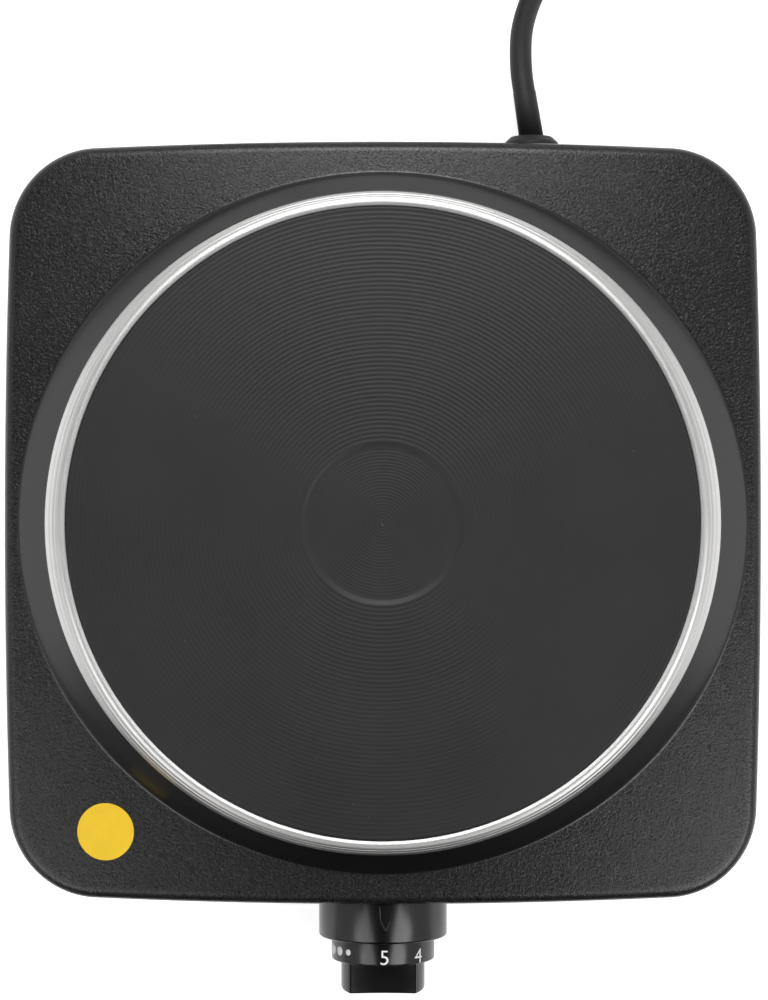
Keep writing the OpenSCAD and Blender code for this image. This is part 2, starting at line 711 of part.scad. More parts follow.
module cord_bushing() color([0.05, 0.05, 0.05]) difference() {
    union() {
        translate([gland_x, gland_y, gland_z]) rotate([-90, 0, 0]) rotate_extrude() polygon([
            [0, -sheet_t - bush_in], [neck_r + 1.5, -sheet_t - bush_in], [neck_r + 1.5, -sheet_t - 0.1],
            [neck_r, -sheet_t - 0.1], [neck_r, 0.1], [gland_d/2, 0.1], [gland_d/2, gland_reach/2],
            [gland_d/2 - 2.2, gland_reach], [0, gland_reach]
        ]);
        along_sleeve() translate([0, 0, -1]) cylinder(r1 = sleeve_end_r + 0.5, r2 = sleeve_end_r, h = sleeve_len + 1);
    }
    cord_core();
}

// The lead where it passes straight through the gland and then along the sleeve
module cord_core() {
    translate([gland_x, tail_start, gland_z]) rotate([-90, 0, 0]) cylinder(r = cord_r, h = sleeve_from.y - tail_start);
    translate(sleeve_from) sphere(r = cord_r);
    along_sleeve() cylinder(r = cord_r, h = sleeve_len);
}

module cord_tail() color([0.05, 0.05, 0.05]) cord_core();

module cord_clamp() color([0.88, 0.88, 0.86]) difference() {
    translate([gland_x - clamp_half, axis_y + clamp_y - clamp_w/2, base_top])
        cube([2*clamp_half, clamp_w, clamp_top - base_top]);
    cord_core();
    at_clamp_screws() cylinder(r = clamp_screw_r, h = plate_z);
}

module clamp_screws() color([0.75, 0.75, 0.76]) at_clamp_screws() {
    translate([0, 0, foot_h]) cylinder(r = clamp_screw_r, h = clamp_top - foot_h + 1);
    translate([0, 0, clamp_top]) cylinder(r = 1.8*clamp_screw_r, h = 2);
}

module earth_screw() color([0.80, 0.66, 0.30]) translate([earth_at.x, axis_y + earth_at.y, 0]) {
    translate([0, 0, foot_h]) cylinder(r = foot_screw_r, h = base_t + 8);
    translate([0, 0, base_top]) cylinder(r = 2*foot_screw_r, h = 3);
}

// Insulated wires inside the housing; each starts where the lead's sheath ends or at a terminal
wire_r = 1.2;
wire_gap = 0.3;
lamp_wire_r = 0.85;
cutout_under = cover_z - ear_t - cutout_h - wire_gap;
wire_z = block_z + block_h/2;
// Each wire starts this far from the end of the lead's sheath, and ends this far from its terminal
wire_end_gap = 0.7;
tail_face = tail_start - wire_end_gap;
block_side = -block_w/2 - wire_end_gap;
live_route = [
    [gland_x + 2, tail_face, gland_z], [gland_x + 3, tail_face - 8.5, 20], [58, 60, 15], [62, 10, 13],
    [58, -40, 14], [46, front_y + 27, 22], [38, front_y + 13, 29],
    [blade_hi + tab_len, frame_back + fixed_at + fixed_t/2, knob_z]
];
neutral_route = [
    [gland_x - 2, tail_face, gland_z], [38, tail_face - 10.5, 22], [22, tail_face - 4.5, 30], [0, tail_face + 7.5, 35],
    [-14, tail_face + 6.5, 40], [-15, tail_face - 4.5, 44], [block_side, axis_y + channels[2], wire_z]
];
load_route = [
    [stack_x, frame_back + moving_at + moving_t/2, knob_z + tab_top], [14, front_y + 11, 46], [2, front_y + 21, 47],
    [-16, -60, 45], [-30, -44, 40], [-36, -32, 34], [-37, -23, 35],
    [cutout_at.x + 3, axis_y + cutout_at.y, cutout_under]
];
link_route = [
    [cutout_at.x - 3, axis_y + cutout_at.y, cutout_under], [-43.5, -18, 36], [-44, -8, 34],
    [-42, 10, 34], [-34, 30, 37], [-22, 42, 42], [-14, 47, 45], [block_side, axis_y + channels[0], wire_z]
];
earth_route = [
    [gland_x, tail_face, gland_z - 2], [49, tail_face - 8.5, 16], [53, tail_face - 15.5, 13],
    [earth_at.x - 2*foot_screw_r - wire_end_gap, axis_y + earth_at.y + 1.8, base_top + wire_r + wire_gap]
];
lamp_route_a = [
    [-lamp_x - 2, lamp_y + sheet_t + lamp_len, knob_z], [-50, front_y + 33, 33], [-44, front_y + 41, 38],
    [-32, front_y + 39, 44], [-18, front_y + 25, 44], [-2, front_y + 13, 41], [8, front_y + 8.5, 38],
    [stack_x - blade_w/2, frame_back + moving_at + moving_t/2, knob_z + tab_top - 4]
];
lamp_route_b = [
    [-lamp_x + 2, lamp_y + sheet_t + lamp_len, knob_z], [-45, front_y + 33, 27], [-40, front_y + 49, 22], [-40, 0, 20],
    [-36, 60, 22], [-26, 92, 32], [-18, 80, 42], [block_side, 74, wire_z]
];

module wire_live() color([0.45, 0.25, 0.12]) tube(live_route, wire_r, 2);
module wire_neutral() color([0.15, 0.30, 0.60]) tube(neutral_route, wire_r, 2);
module wire_load() color([0.85, 0.84, 0.80]) {
    tube(load_route, wire_r, 2);
    tube(link_route, wire_r, 2);
}
module wire_earth() color([0.35, 0.60, 0.15]) tube(earth_route, wire_r, 2);
module wire_lamp() color([0.85, 0.84, 0.80]) {
    tube(lamp_route_a, lamp_wire_r, 2);
    tube(lamp_route_b, lamp_wire_r, 2);
}

// Route of the lead on the table, chosen by hand, then a round coil of four turns
cord_route = [
    sleeve_to, [42.9, 153, 20.5], [42.7, 160, 18.4], [43.2, 167, 15.2], [44.9, 174, 11.7],
    [47.7, 181, 8.4], [51.7, 188, 5.8], [57.5, 195, 4.4], [66, 202.5, 4.1]
];
coil_at = [42.5, 236];
coil_turns = 2;
coil_layers = 2;
coil_mid_r = 37.5;
end_route = [
    [22.1, 271.4, 10.9], [12, 265.6, 11.8], [2, 259.8, 14.6], [-8, 254.1, 17.9], [-13.7, 250.8, 18.5]
];
plug_heading = 210;
plug_back = [-14, 250.6];

module power_cord() color([0.05, 0.05, 0.05]) tube(cord_route, cord_r, 2);

module coil_section(grow) translate([coil_mid_r - coil_turns*cord_r - grow, tie_t - grow])
    square([2*coil_turns*cord_r + 2*grow, 2*coil_layers*cord_r + 2*grow]);

module cord_coil() color([0.05, 0.05, 0.05]) translate([coil_at.x, coil_at.y, 0])
    rotate_extrude() coil_section(0);

module cord_tie() color([0.12, 0.12, 0.12]) translate([coil_at.x, coil_at.y, 0]) rotate([0, 0, 190])
    rotate_extrude(angle = tie_w/coil_mid_r*180/PI) difference() {
        coil_section(tie_t);
        coil_section(0);
    }

module cord_end() color([0.05, 0.05, 0.05]) tube(end_route, cord_r, 2);

// Places children with +Z running from the back of the plug's sleeve to its pins
module along_plug() translate([plug_back.x, plug_back.y, plug_r])
    rotate([0, 0, plug_heading]) rotate([0, 90, 0]) children();

module plug_body() color([0.05, 0.05, 0.05]) along_plug() difference() {
    rotate_extrude() polygon([
        [0, 0], [cord_r + 1.2, 0], [cord_r + 3.4, plug_sleeve], [plug_r - 6, plug_sleeve + 3],
        [plug_r - 3, plug_sleeve + 12], [plug_r, plug_sleeve + 18], [plug_r, plug_sleeve + plug_len],
        [0, plug_sleeve + plug_len]
    ]);
    for (s = [-1, 1]) translate([0, s*pin_pitch/2, plug_sleeve + plug_len - 10]) cylinder(r = pin_r, h = 11);
}

module plug_pins() color([0.80, 0.80, 0.82]) along_plug()
    for (s = [-1, 1]) translate([0, s*pin_pitch/2, plug_sleeve + plug_len - 10]) {
        cylinder(r = pin_r, h = 10 + pin_len - pin_r);
        translate([0, 0, 10 + pin_len - pin_r]) intersection() {
            sphere(r = pin_r);
            cylinder(r = pin_r, h = pin_r);
        }
    }

// ---- Plain patch ----

// Distance of the patch's middle from the left side and from the front
patch_in = [30.9, 21.5];
patch_at = [patch_in.x - body_w/2, patch_in.y - body_d/2];

module plain_patch() color([0.93, 0.75, 0.08]) on_plate_axis() intersection() {
    translate([patch_at.x, patch_at.y, 0]) cylinder(d = patch_d, h = platform_z);
    rotate([90, 0, 0]) linear_extrude(2*body_d, center = true) polygon(concat(
        [for (k = [-arch_steps : 0]) let (x = body_w/2*k/arch_steps) [x, arch_z(x, -patch_t)]],
        [for (k = [0 : arch_steps]) let (x = -body_w/2*k/arch_steps) [x, arch_z(x, 0)]]
    ));
}

housing();
base_plate();
corner_brackets();
feet();
foot_screws();
spill_ring();
hob_plate();
insulation_rings();
heating_coils();
plate_cover();
center_stud();
clamp_bridge();
clamp_washer();
clamp_nut();
terminal_block();
terminal_screws();
thermal_cutout();
cutout_screws();
thermostat_frame();
bush_nut();
stack_ceramics();
stack_rivet();
bimetal_strip();
contact_springs();
contact_rivets();
control_shaft();
adjuster_pin();
knob();
knob_spring_clip();
knob_bezel();
pilot_lamp_lens();
pilot_lamp_body();
cord_bushing();
cord_tail();
cord_clamp();
clamp_screws();
earth_screw();
wire_live();
wire_neutral();
wire_load();
wire_earth();
wire_lamp();
power_cord();
cord_coil();
cord_end();
cord_tie();
plug_body();
plug_pins();
plain_patch();
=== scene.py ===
import json
import math
import bmesh
import bpy
import numpy as np
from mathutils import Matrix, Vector


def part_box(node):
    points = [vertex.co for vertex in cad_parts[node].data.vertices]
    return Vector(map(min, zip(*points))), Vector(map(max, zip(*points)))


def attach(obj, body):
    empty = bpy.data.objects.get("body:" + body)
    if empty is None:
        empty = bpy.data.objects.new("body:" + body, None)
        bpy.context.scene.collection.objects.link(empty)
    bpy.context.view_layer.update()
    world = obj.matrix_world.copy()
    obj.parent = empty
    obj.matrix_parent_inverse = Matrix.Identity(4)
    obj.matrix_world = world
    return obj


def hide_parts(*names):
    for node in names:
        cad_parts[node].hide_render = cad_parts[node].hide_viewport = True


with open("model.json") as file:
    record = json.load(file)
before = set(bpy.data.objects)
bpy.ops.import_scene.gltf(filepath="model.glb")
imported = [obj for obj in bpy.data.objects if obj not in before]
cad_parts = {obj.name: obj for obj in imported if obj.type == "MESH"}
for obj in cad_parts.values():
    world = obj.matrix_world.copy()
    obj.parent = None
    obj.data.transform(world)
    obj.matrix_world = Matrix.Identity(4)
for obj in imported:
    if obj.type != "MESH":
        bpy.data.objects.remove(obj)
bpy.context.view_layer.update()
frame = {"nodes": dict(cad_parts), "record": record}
nodes = frame["nodes"]
scene = bpy.context.scene
print("stage: frame loaded,", len(nodes), "nodes")

# Shapes are worked out in millimetres and become metres when their mesh is made.
mm = 0.001


def boxOf(node):
    # lowest and highest corner of a node, in millimetres
    low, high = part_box(node)
    return np.array(low) / mm, np.array(high) / mm


housingLow, housingHigh = boxOf("housing")
plateLow, plateHigh = boxOf("hob_plate")
collarLow, collarHigh = boxOf("knob_bezel")
plateAxis = (plateLow + plateHigh) / 2
wallFront = collarHigh[1]
knobAxisZ = (collarLow[2] + collarHigh[2]) / 2
platformZ = boxOf("spill_ring")[0][2]

# small tools that several pieces use


def unit(v):
    v = np.asarray(v, float)
    return v / np.linalg.norm(v)


def smoothStep(t):
    # 0 before 0, 1 after 1, and a soft S between
    t = np.clip(t, 0, 1)
    return t * t * (3 - 2 * t)


def softLess(a, b, width):
    # the lesser of a and b, with the corner between them rounded over about that width
    h = np.clip(0.5 + (b - a) / (2 * width), 0, 1)
    return b * (1 - h) + a * h - width * h * (1 - h)


def gridFaces(rows, columns, wrapRows=False, wrapColumns=False):
    # one quad for each cell of a grid of points; a wrapped side joins its last line to its first
    index = np.arange(rows * columns).reshape(rows, columns)
    if wrapRows:
        index = np.vstack([index, index[:1]])
    if wrapColumns:
        index = np.hstack([index, index[:, :1]])
    corners = [index[:-1, :-1], index[:-1, 1:], index[1:, 1:], index[1:, :-1]]
    return np.stack(corners, axis=-1).reshape(-1, 4)


def combine(parts):
    # several (points, faces) pairs as one
    points, faces, count = [], [], 0
    for somePoints, someFaces in parts:
        flat = np.asarray(somePoints).reshape(-1, 3)
        points.append(flat)
        faces.append(someFaces + count)
        count += len(flat)
    return np.concatenate(points), np.concatenate(faces)


def sheetOf(points, wrapRows=False, wrapColumns=False):
    # a grid of points as flat points and their faces
    return points.reshape(-1, 3), gridFaces(*points.shape[:2], wrapRows, wrapColumns)


def makePiece(name, shape, slotName, body="stove", replaced=(), marks=None, finish=None):
    # puts points and faces into a mesh, closes its seams and poles and turns its faces outwards; the finish
    # is the slot's own unless one is given, and marks are values for each point that a finish can read
    points, faces = shape
    mesh = bpy.data.meshes.new(name)
    mesh.from_pydata((points * mm).tolist(), [], faces.tolist())
    for key, values in (marks or {}).items():
        layer = mesh.attributes.new(key, "FLOAT", "POINT")
        layer.data.foreach_set("value", np.asarray(values, np.float32).ravel())
    work = bmesh.new()
    work.from_mesh(mesh)
    bmesh.ops.remove_doubles(work, verts=work.verts, dist=1e-6)
    bmesh.ops.recalc_face_normals(work, faces=work.faces)
    work.to_mesh(mesh)
    work.free()
    mesh.polygons.foreach_set("use_smooth", np.ones(len(mesh.polygons), bool))
    mesh.materials.append(finish or finishes[slotName])
    piece = bpy.data.objects.new(name, mesh)
    scene.collection.objects.link(piece)
    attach(piece, body)
    if replaced:
        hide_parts(*replaced)
    return piece


def giveSheet(piece, thickness, even=False):
    # thickens a surface inwards to sheet metal of so many millimetres
    solid = piece.modifiers.new("sheet", "SOLIDIFY")
    solid.thickness, solid.offset, solid.use_even_offset = thickness * mm, -1.0, even


def filleted(corners, steps=5):
    # corners are (radius, height, fillet); each inner one becomes an arc that touches both of its sides
    line = [np.array(corners[0][:2], float)]
    for before, corner, after in zip(corners, corners[1:], corners[2:]):
        at, fillet = np.array(corner[:2], float), corner[2]
        if fillet == 0:
            line.append(at)
            continue
        a, b = unit(np.array(before[:2]) - at), unit(np.array(after[:2]) - at)
        half = math.acos(float(np.clip(a @ b, -1, 1))) / 2
        centre = at + unit(a + b) * fillet / math.sin(half)
        start, end = at + a * fillet / math.tan(half) - centre, at + b * fillet / math.tan(half) - centre
        turn = math.pi - 2 * half
        t = np.linspace(0, 1, steps + 1)[:, None]
        line.extend(centre + (np.sin((1 - t) * turn) * start + np.sin(t * turn) * end) / math.sin(turn))
    line.append(np.array(corners[-1][:2], float))
    return np.array(line)


def axes(direction):
    # two directions square to the given one and to each other
    w = unit(direction)
    u = unit(np.cross([0, 0, 1], w)) if abs(w[2]) < 0.9 else np.array([1.0, 0, 0])
    return u, np.cross(w, u), w


def revolve(profile, segments, centre, direction=(0, 0, 1), closed=False):
    # turns a profile of (radius, height) pairs round an axis: across r cos a and r sin a, along the height
    u, v, w = axes(direction)
    a = np.linspace(0, 2 * math.pi, segments, endpoint=False)
    r, h = profile[:, :1, None], profile[:, 1:, None]
    points = np.asarray(centre) + r * (np.cos(a)[None, :, None] * u + np.sin(a)[None, :, None] * v) + h * w
    return sheetOf(points, wrapRows=closed, wrapColumns=True)


def smoothRoute(points, steps):
    # a curve through every point; between two of them it is the cubic whose ends head for their neighbours
    p = np.vstack([points[:1], points, points[-1:]]).astype(float)
    a, b, c, d = (p[k : len(p) - 3 + k, None] for k in range(4))
    t = (np.arange(steps) / steps)[None, :, None]
    line = 0.5 * (2 * b + (c - a) * t + (2 * a - 5 * b + 4 * c - d) * t**2 + (3 * b - a - 3 * c + d) * t**3)
    return np.vstack([line.reshape(-1, 3), p[-1:]])


def sweep(path, radius, sides):
    # a round tube along a path that never stands upright: rings square to the path, closed at both ends
    ahead = np.gradient(path, axis=0)
    ahead /= np.linalg.norm(ahead, axis=1, keepdims=True)
    across = np.cross(ahead, [0, 0, 1])
    across /= np.linalg.norm(across, axis=1, keepdims=True)
    up = np.cross(across, ahead)
    a = np.linspace(0, 2 * math.pi, sides, endpoint=False)[None, :, None]
    r = np.broadcast_to(np.asarray(radius, float), len(path))[:, None, None]
    rings = path[:, None] + r * (np.cos(a) * across[:, None] + np.sin(a) * up[:, None])
    ends = np.repeat(path[[0, -1]][:, None], sides, axis=1)
    return sheetOf(np.concatenate([ends[:1], rings, ends[1:]]), wrapColumns=True)


# the camera, made before any piece; its place is in millimetres

cameraSetup = {"x": 0.33, "y": 21.35, "height": 850.0, "lens": 96.55}

cameraData = bpy.data.cameras.new("overheadCamera")
cameraData.lens = cameraSetup["lens"]
cameraData.clip_start, cameraData.clip_end = 0.01, 50
camera = bpy.data.objects.new("overheadCamera", cameraData)
camera.location = np.array([cameraSetup["x"], cameraSetup["y"], cameraSetup["height"]]) * mm
scene.collection.objects.link(camera)
scene.camera = camera
print("stage: camera")

# node groups: effects that several materials share


def addNode(tree, kind, settings=None, **inputs):
    # a shader node with its settings made and its inputs either set or linked; an input is given by its
    # name with _ for a blank, or as i0, i1 and so on by its place
    node = tree.nodes.new("ShaderNode" + kind)
    for key, value in (settings or {}).items():
        setattr(node, key, value)
    for key, value in inputs.items():
        byPlace = key[0] == "i" and key[1:].isdigit()
        socket = node.inputs[int(key[1:]) if byPlace else key.replace("_", " ")]
        if isinstance(value, bpy.types.NodeSocket):
            tree.links.new(value, socket)
        else:
            socket.default_value = value
    return node


def maths(tree, operation, *values):
    inputs = {f"i{k}": value for k, value in enumerate(values)}
    return addNode(tree, "Math", {"operation": operation}, **inputs).outputs[0]


def rescale(tree, value, fromLow, fromHigh, toLow, toHigh, kind="LINEAR"):
    span = {"From_Min": fromLow, "From_Max": fromHigh, "To_Min": toLow, "To_Max": toHigh}
    return addNode(tree, "MapRange", {"interpolation_type": kind}, Value=value, **span).outputs["Result"]


def noise(tree, place, scale, detail, **more):
    return addNode(tree, "TexNoise", None, Vector=place, Scale=scale, Detail=detail, **more).outputs["Fac"]


def lineNoise(tree, along, scale, detail, **more):
    # a noise that changes along one length only
    oneWay = {"noise_dimensions": "1D"}
    return addNode(tree, "TexNoise", oneWay, W=along, Scale=scale, Detail=detail, **more).outputs["Fac"]


def scaled(tree, vector, factor):
    return addNode(tree, "VectorMath", {"operation": "SCALE"}, i0=vector, Scale=factor).outputs[0]


def newGroup(name, inputs, outputs):
    # an empty node group with named sockets; returns its tree, what it is given and what it puts out
    group = bpy.data.node_groups.new(name, "ShaderNodeTree")
    kinds = {"float": "NodeSocketFloat", "colour": "NodeSocketColor", "vector": "NodeSocketVector"}
    for label, kind, value in inputs:
        socket = group.interface.new_socket(label, in_out="INPUT", socket_type=kinds[kind])
        if value is not None:
            socket.default_value = value
    for label, kind in outputs:
        group.interface.new_socket(label, in_out="OUTPUT", socket_type=kinds[kind])
    return group, group.nodes.new("NodeGroupInput").outputs, group.nodes.new("NodeGroupOutput").inputs


def makeWrinkleGroup():
    # fine wrinkles of a baked coat: the middle line of a bent noise stands up as a ridge, on a slower roll
    tree, given, out = newGroup(
        "wrinkleCoat",
        [("Vector", "vector", None), ("Grain", "float", 1500.0), ("Presence", "float", 1.0)],
        [("Height", "float"), ("Tone", "float")],
    )
    middle, ridgeWidth, slowShare, rollHeight = 0.5, 0.16, 0.31, 0.8
    fine = noise(tree, given["Vector"], given["Grain"], 2.5, Distortion=0.6)
    ridge = maths(tree, "ABSOLUTE", maths(tree, "SUBTRACT", fine, middle))
    ridge = rescale(tree, ridge, 0.0, ridgeWidth, 1.0, 0.0)
    slow = noise(tree, given["Vector"], maths(tree, "MULTIPLY", given["Grain"], slowShare), 1.0)
    both = maths(tree, "ADD", ridge, maths(tree, "MULTIPLY", slow, rollHeight))
    tone = rescale(tree, both, 0.2, 1.2, -1.0, 1.0)
    tree.links.new(maths(tree, "MULTIPLY", both, given["Presence"]), out["Height"])
    tree.links.new(maths(tree, "MULTIPLY", tone, given["Presence"]), out["Tone"])
    return tree


def makeCircleGroup():
    # turned or brushed lines round an axis: a fine noise that depends only on the distance from the axis
    tree, given, out = newGroup(
        "circleLines",
        [("Vector", "vector", None), ("Fineness", "float", 2500.0), ("Unevenness", "float", 0.3)],
        [("Height", "float")],
    )
    waverBy = 0.0002  # metres by which a line strays from its circle
    level = {"i0": given["Vector"], "i1": (1.0, 1.0, 0.0)}
    flat = addNode(tree, "VectorMath", {"operation": "MULTIPLY"}, **level).outputs[0]
    distance = addNode(tree, "VectorMath", {"operation": "LENGTH"}, i0=flat).outputs["Value"]
    shifted = maths(tree, "MULTIPLY_ADD", noise(tree, given["Vector"], 60.0, 1.0), waverBy, distance)
    lines = lineNoise(tree, shifted, given["Fineness"], 3.0, Roughness=0.6)
    patchy = noise(tree, given["Vector"], 160.0, 2.0)
    fade = maths(tree, "SUBTRACT", 1.0, maths(tree, "MULTIPLY", patchy, given["Unevenness"]))
    tree.links.new(maths(tree, "MULTIPLY", lines, fade), out["Height"])
    return tree


def makeMottleGroup():
    # slow and quick unevenness of a surface, as a colour and as a share from -1 to 1
    tree, given, out = newGroup(
        "mottle",
        [
            ("Vector", "vector", None), ("Colour", "colour", None),
            ("Size", "float", 80.0), ("Amount", "float", 0.2),
        ],
        [("Colour", "colour"), ("Share", "float")],
    )
    quicker, quickHeight = 9.0, 0.5
    slow = noise(tree, given["Vector"], given["Size"], 4.0)
    quick = noise(tree, given["Vector"], maths(tree, "MULTIPLY", given["Size"], quicker), 2.0)
    both = maths(tree, "ADD", slow, maths(tree, "MULTIPLY", quick, quickHeight))
    share = rescale(tree, both, 0.45, 1.05, -1.0, 1.0)
    factor = maths(tree, "MULTIPLY_ADD", share, given["Amount"], 1.0)
    tree.links.new(scaled(tree, given["Colour"], factor), out["Colour"])
    tree.links.new(share, out["Share"])
    return tree


def makeEdgeGroup():
    # where the surface turns sharply, found by comparing a rounded normal with the true one; it is chipped
    # by a noise, and Normal is the rounded one
    tree, given, out = newGroup(
        "edgeWear",
        [("Radius", "float", 0.0005), ("Vector", "vector", None)],
        [("Mask", "float"), ("Normal", "vector")],
    )
    rounded = addNode(tree, "Bevel", {"samples": 4}, Radius=given["Radius"])
    plain = addNode(tree, "NewGeometry")
    pair = {"i0": rounded.outputs[0], "i1": plain.outputs["Normal"]}
    likeness = addNode(tree, "VectorMath", {"operation": "DOT_PRODUCT"}, **pair).outputs["Value"]
    turned = rescale(tree, likeness, 0.98, 0.8, 0.0, 1.0)
    chips = rescale(tree, noise(tree, given["Vector"], 700.0, 3.0), 0.35, 0.65, 0.2, 1.0)
    tree.links.new(maths(tree, "MULTIPLY", turned, chips), out["Mask"])
    tree.links.new(rounded.outputs[0], out["Normal"])
    return tree


def makeSpeckGroup():
    # a few small specks: the cores of cells, kept only where the cell's own random value is high
    tree, given, out = newGroup(
        "specks",
        [("Vector", "vector", None), ("Cells", "float", 220.0), ("Size", "float", 0.06)],
        [("Mask", "float")],
    )
    cells = addNode(tree, "TexVoronoi", None, Vector=given["Vector"], Scale=given["Cells"], Randomness=1.0)
    passedOver = 0.72  # share of the cells that stay plain
    near = maths(tree, "LESS_THAN", cells.outputs["Distance"], given["Size"])
    pick = addNode(tree, "SeparateColor", None, Color=cells.outputs["Color"])
    chosen = maths(tree, "GREATER_THAN", pick.outputs["Red"], passedOver)
    tree.links.new(maths(tree, "MULTIPLY", near, chosen), out["Mask"])
    return tree


def makeWeaveGroup():
    # a braided sleeve: two families of diagonal ribs that cross along the length and round the sleeve
    tree, given, out = newGroup(
        "braid",
        [("Vector", "vector", None), ("Density", "float", 900.0)],
        [("Height", "float")],
    )
    dense = scaled(tree, given["Vector"], given["Density"])
    x, y, z = addNode(tree, "SeparateXYZ", None, Vector=dense).outputs
    ribs = [
        maths(tree, "SINE", maths(tree, side, maths(tree, side, x, y), z)) for side in ("ADD", "SUBTRACT")
    ]
    tree.links.new(maths(tree, "MAXIMUM", *ribs), out["Height"])
    return tree


wrinkleGroup, circleGroup, mottleGroup = makeWrinkleGroup(), makeCircleGroup(), makeMottleGroup()
edgeGroup, speckGroup, weaveGroup = makeEdgeGroup(), makeSpeckGroup(), makeWeaveGroup()
print("stage: node groups")

# materials


class Finish:
    # a material in the making: its tree, its Principled BSDF and the object coordinates in metres
    def __init__(self, name, **sockets):
        self.material = bpy.data.materials.new(name)
        self.material.use_nodes = True
        self.tree = self.material.node_tree
        self.shader = self.tree.nodes["Principled BSDF"]
        self.place = addNode(self.tree, "TexCoord").outputs["Object"]
        for label, value in sockets.items():
            self.shader.inputs[label.replace("_", " ")].default_value = value

    def group(self, tree, **inputs):
        node = self.tree.nodes.new("ShaderNodeGroup")
        node.node_tree = tree
        for label, value in inputs.items():
            socket = node.inputs[label.replace("_", " ")]
            if isinstance(value, bpy.types.NodeSocket):
                self.tree.links.new(value, socket)
            else:
                socket.default_value = value
        return node.outputs

    def centred(self, centre):
        # object coordinates measured from a centre in millimetres
        ends = {"i0": self.place, "i1": tuple(np.array(centre) * mm)}
        return addNode(self.tree, "VectorMath", {"operation": "SUBTRACT"}, **ends).outputs[0]

    def feed(self, label, socket):
        self.tree.links.new(socket, self.shader.inputs[label])

    def fineNoise(self, scale, detail):
        return noise(self.tree, self.place, scale, detail)

    def mottled(self, colour, size, amount, roughness=None, glossChange=0.0):
        # an uneven colour for Base Color and, where a roughness is given, an uneven roughness from the same
        # pattern; returns the colour
        mottle = self.group(mottleGroup, Vector=self.place, Colour=colour, Size=size, Amount=amount)
        self.feed("Base Color", mottle["Colour"])
        if roughness is not None:
            uneven = maths(self.tree, "MULTIPLY_ADD", mottle["Share"], glossChange, roughness)
            self.feed("Roughness", uneven)
        return mottle["Colour"]

    def spotted(self, colour, spotColour, strength, cells, size):
        # small spots of another colour over a colour, for Base Color
        spots = self.group(speckGroup, Vector=self.place, Cells=cells, Size=size)
        share = maths(self.tree, "MULTIPLY", spots["Mask"], strength)
        mix = addNode(self.tree, "Mix", {"data_type": "RGBA"}, Factor=share)
        self.tree.links.new(colour, mix.inputs["A"])
        mix.inputs["B"].default_value = spotColour
        self.feed("Base Color", mix.outputs["Result"])

    def bump(self, height, distance, normal=None):
        # distance is in millimetres
        node = addNode(self.tree, "Bump", None, Height=height, Distance=distance * mm)
        if normal is not None:
            self.tree.links.new(normal, node.inputs["Normal"])
        self.feed("Normal", node.outputs[0])


coatGrain = 1250.0  # noise cells to a metre


def powderCoatFinish():
    coat = {
        "colour": (0.0085, 0.0085, 0.0088, 1), "shine": 0.45, "roughness": 0.24, "smooth": 0.17,
        "depth": 0.027, "paintedGlint": 1.0, "sparkle": -0.045,
        "mottleSize": 45.0, "mottle": 0.1, "glossChange": 0.02,
    }
    f = Finish("powderCoat", Specular_IOR_Level=coat["shine"])
    textured = addNode(f.tree, "Attribute", {"attribute_name": "textured"}).outputs["Fac"]
    wrinkle = f.group(wrinkleGroup, Vector=f.place, Grain=coatGrain, Presence=textured)
    # the wrinkles' ridges are smoother than the valleys between them, and the band is smoothest
    rough = rescale(f.tree, textured, 0.0, 1.0, coat["smooth"], coat["roughness"])
    rough = maths(f.tree, "MULTIPLY_ADD", wrinkle["Tone"], coat["sparkle"], rough)
    colour = f.mottled(coat["colour"], coat["mottleSize"], coat["mottle"], rough, coat["glossChange"])
    # painted glint: the base colour is lighter on the wrinkles' ridges and darker in their valleys,
    # standing in for the sparkle of light on the wrinkles
    paintedGlint = maths(f.tree, "MULTIPLY_ADD", wrinkle["Tone"], coat["paintedGlint"], 1.0)
    f.feed("Base Color", scaled(f.tree, colour, paintedGlint))
    f.bump(wrinkle["Height"], coat["depth"])
    return f.material


def plateIronFinish():
    iron = {
        "colour": (0.0185, 0.0185, 0.0187, 1), "shine": 0.3, "roughness": 0.42,
        "lines": 1500.0, "patches": 0.5, "depth": 0.012,
        "speckColour": (0.3, 0.29, 0.28, 1), "speck": 0.35, "speckCells": 260.0, "speckSize": 0.035,
    }
    f = Finish("plateIron", Specular_IOR_Level=iron["shine"])
    centred = f.centred(plateAxis)
    turned = f.group(circleGroup, Vector=centred, Fineness=iron["lines"], Unevenness=iron["patches"])
    colour = f.mottled(
        iron["colour"], size=30.0, amount=0.07, roughness=iron["roughness"], glossChange=0.03
    )
    f.spotted(colour, iron["speckColour"], iron["speck"], iron["speckCells"], iron["speckSize"])
    f.bump(turned["Height"], iron["depth"])
    return f.material


def ringSteelFinish():
    steel = {
        "colour": (0.6, 0.597, 0.59, 1), "roughness": 0.33, "glossChange": 0.12,
        "lines": 2600.0, "patches": 0.25, "depth": 0.018,
    }
    f = Finish("ringSteel", Metallic=1.0)
    centred = f.centred(plateAxis)
    brushed = f.group(circleGroup, Vector=centred, Fineness=steel["lines"], Unevenness=steel["patches"])
    f.mottled(steel["colour"], size=25.0, amount=0.04)
    rough = maths(f.tree, "MULTIPLY_ADD", brushed["Height"], steel["glossChange"], steel["roughness"])
    f.feed("Roughness", rough)
    f.bump(brushed["Height"], steel["depth"])
    return f.material


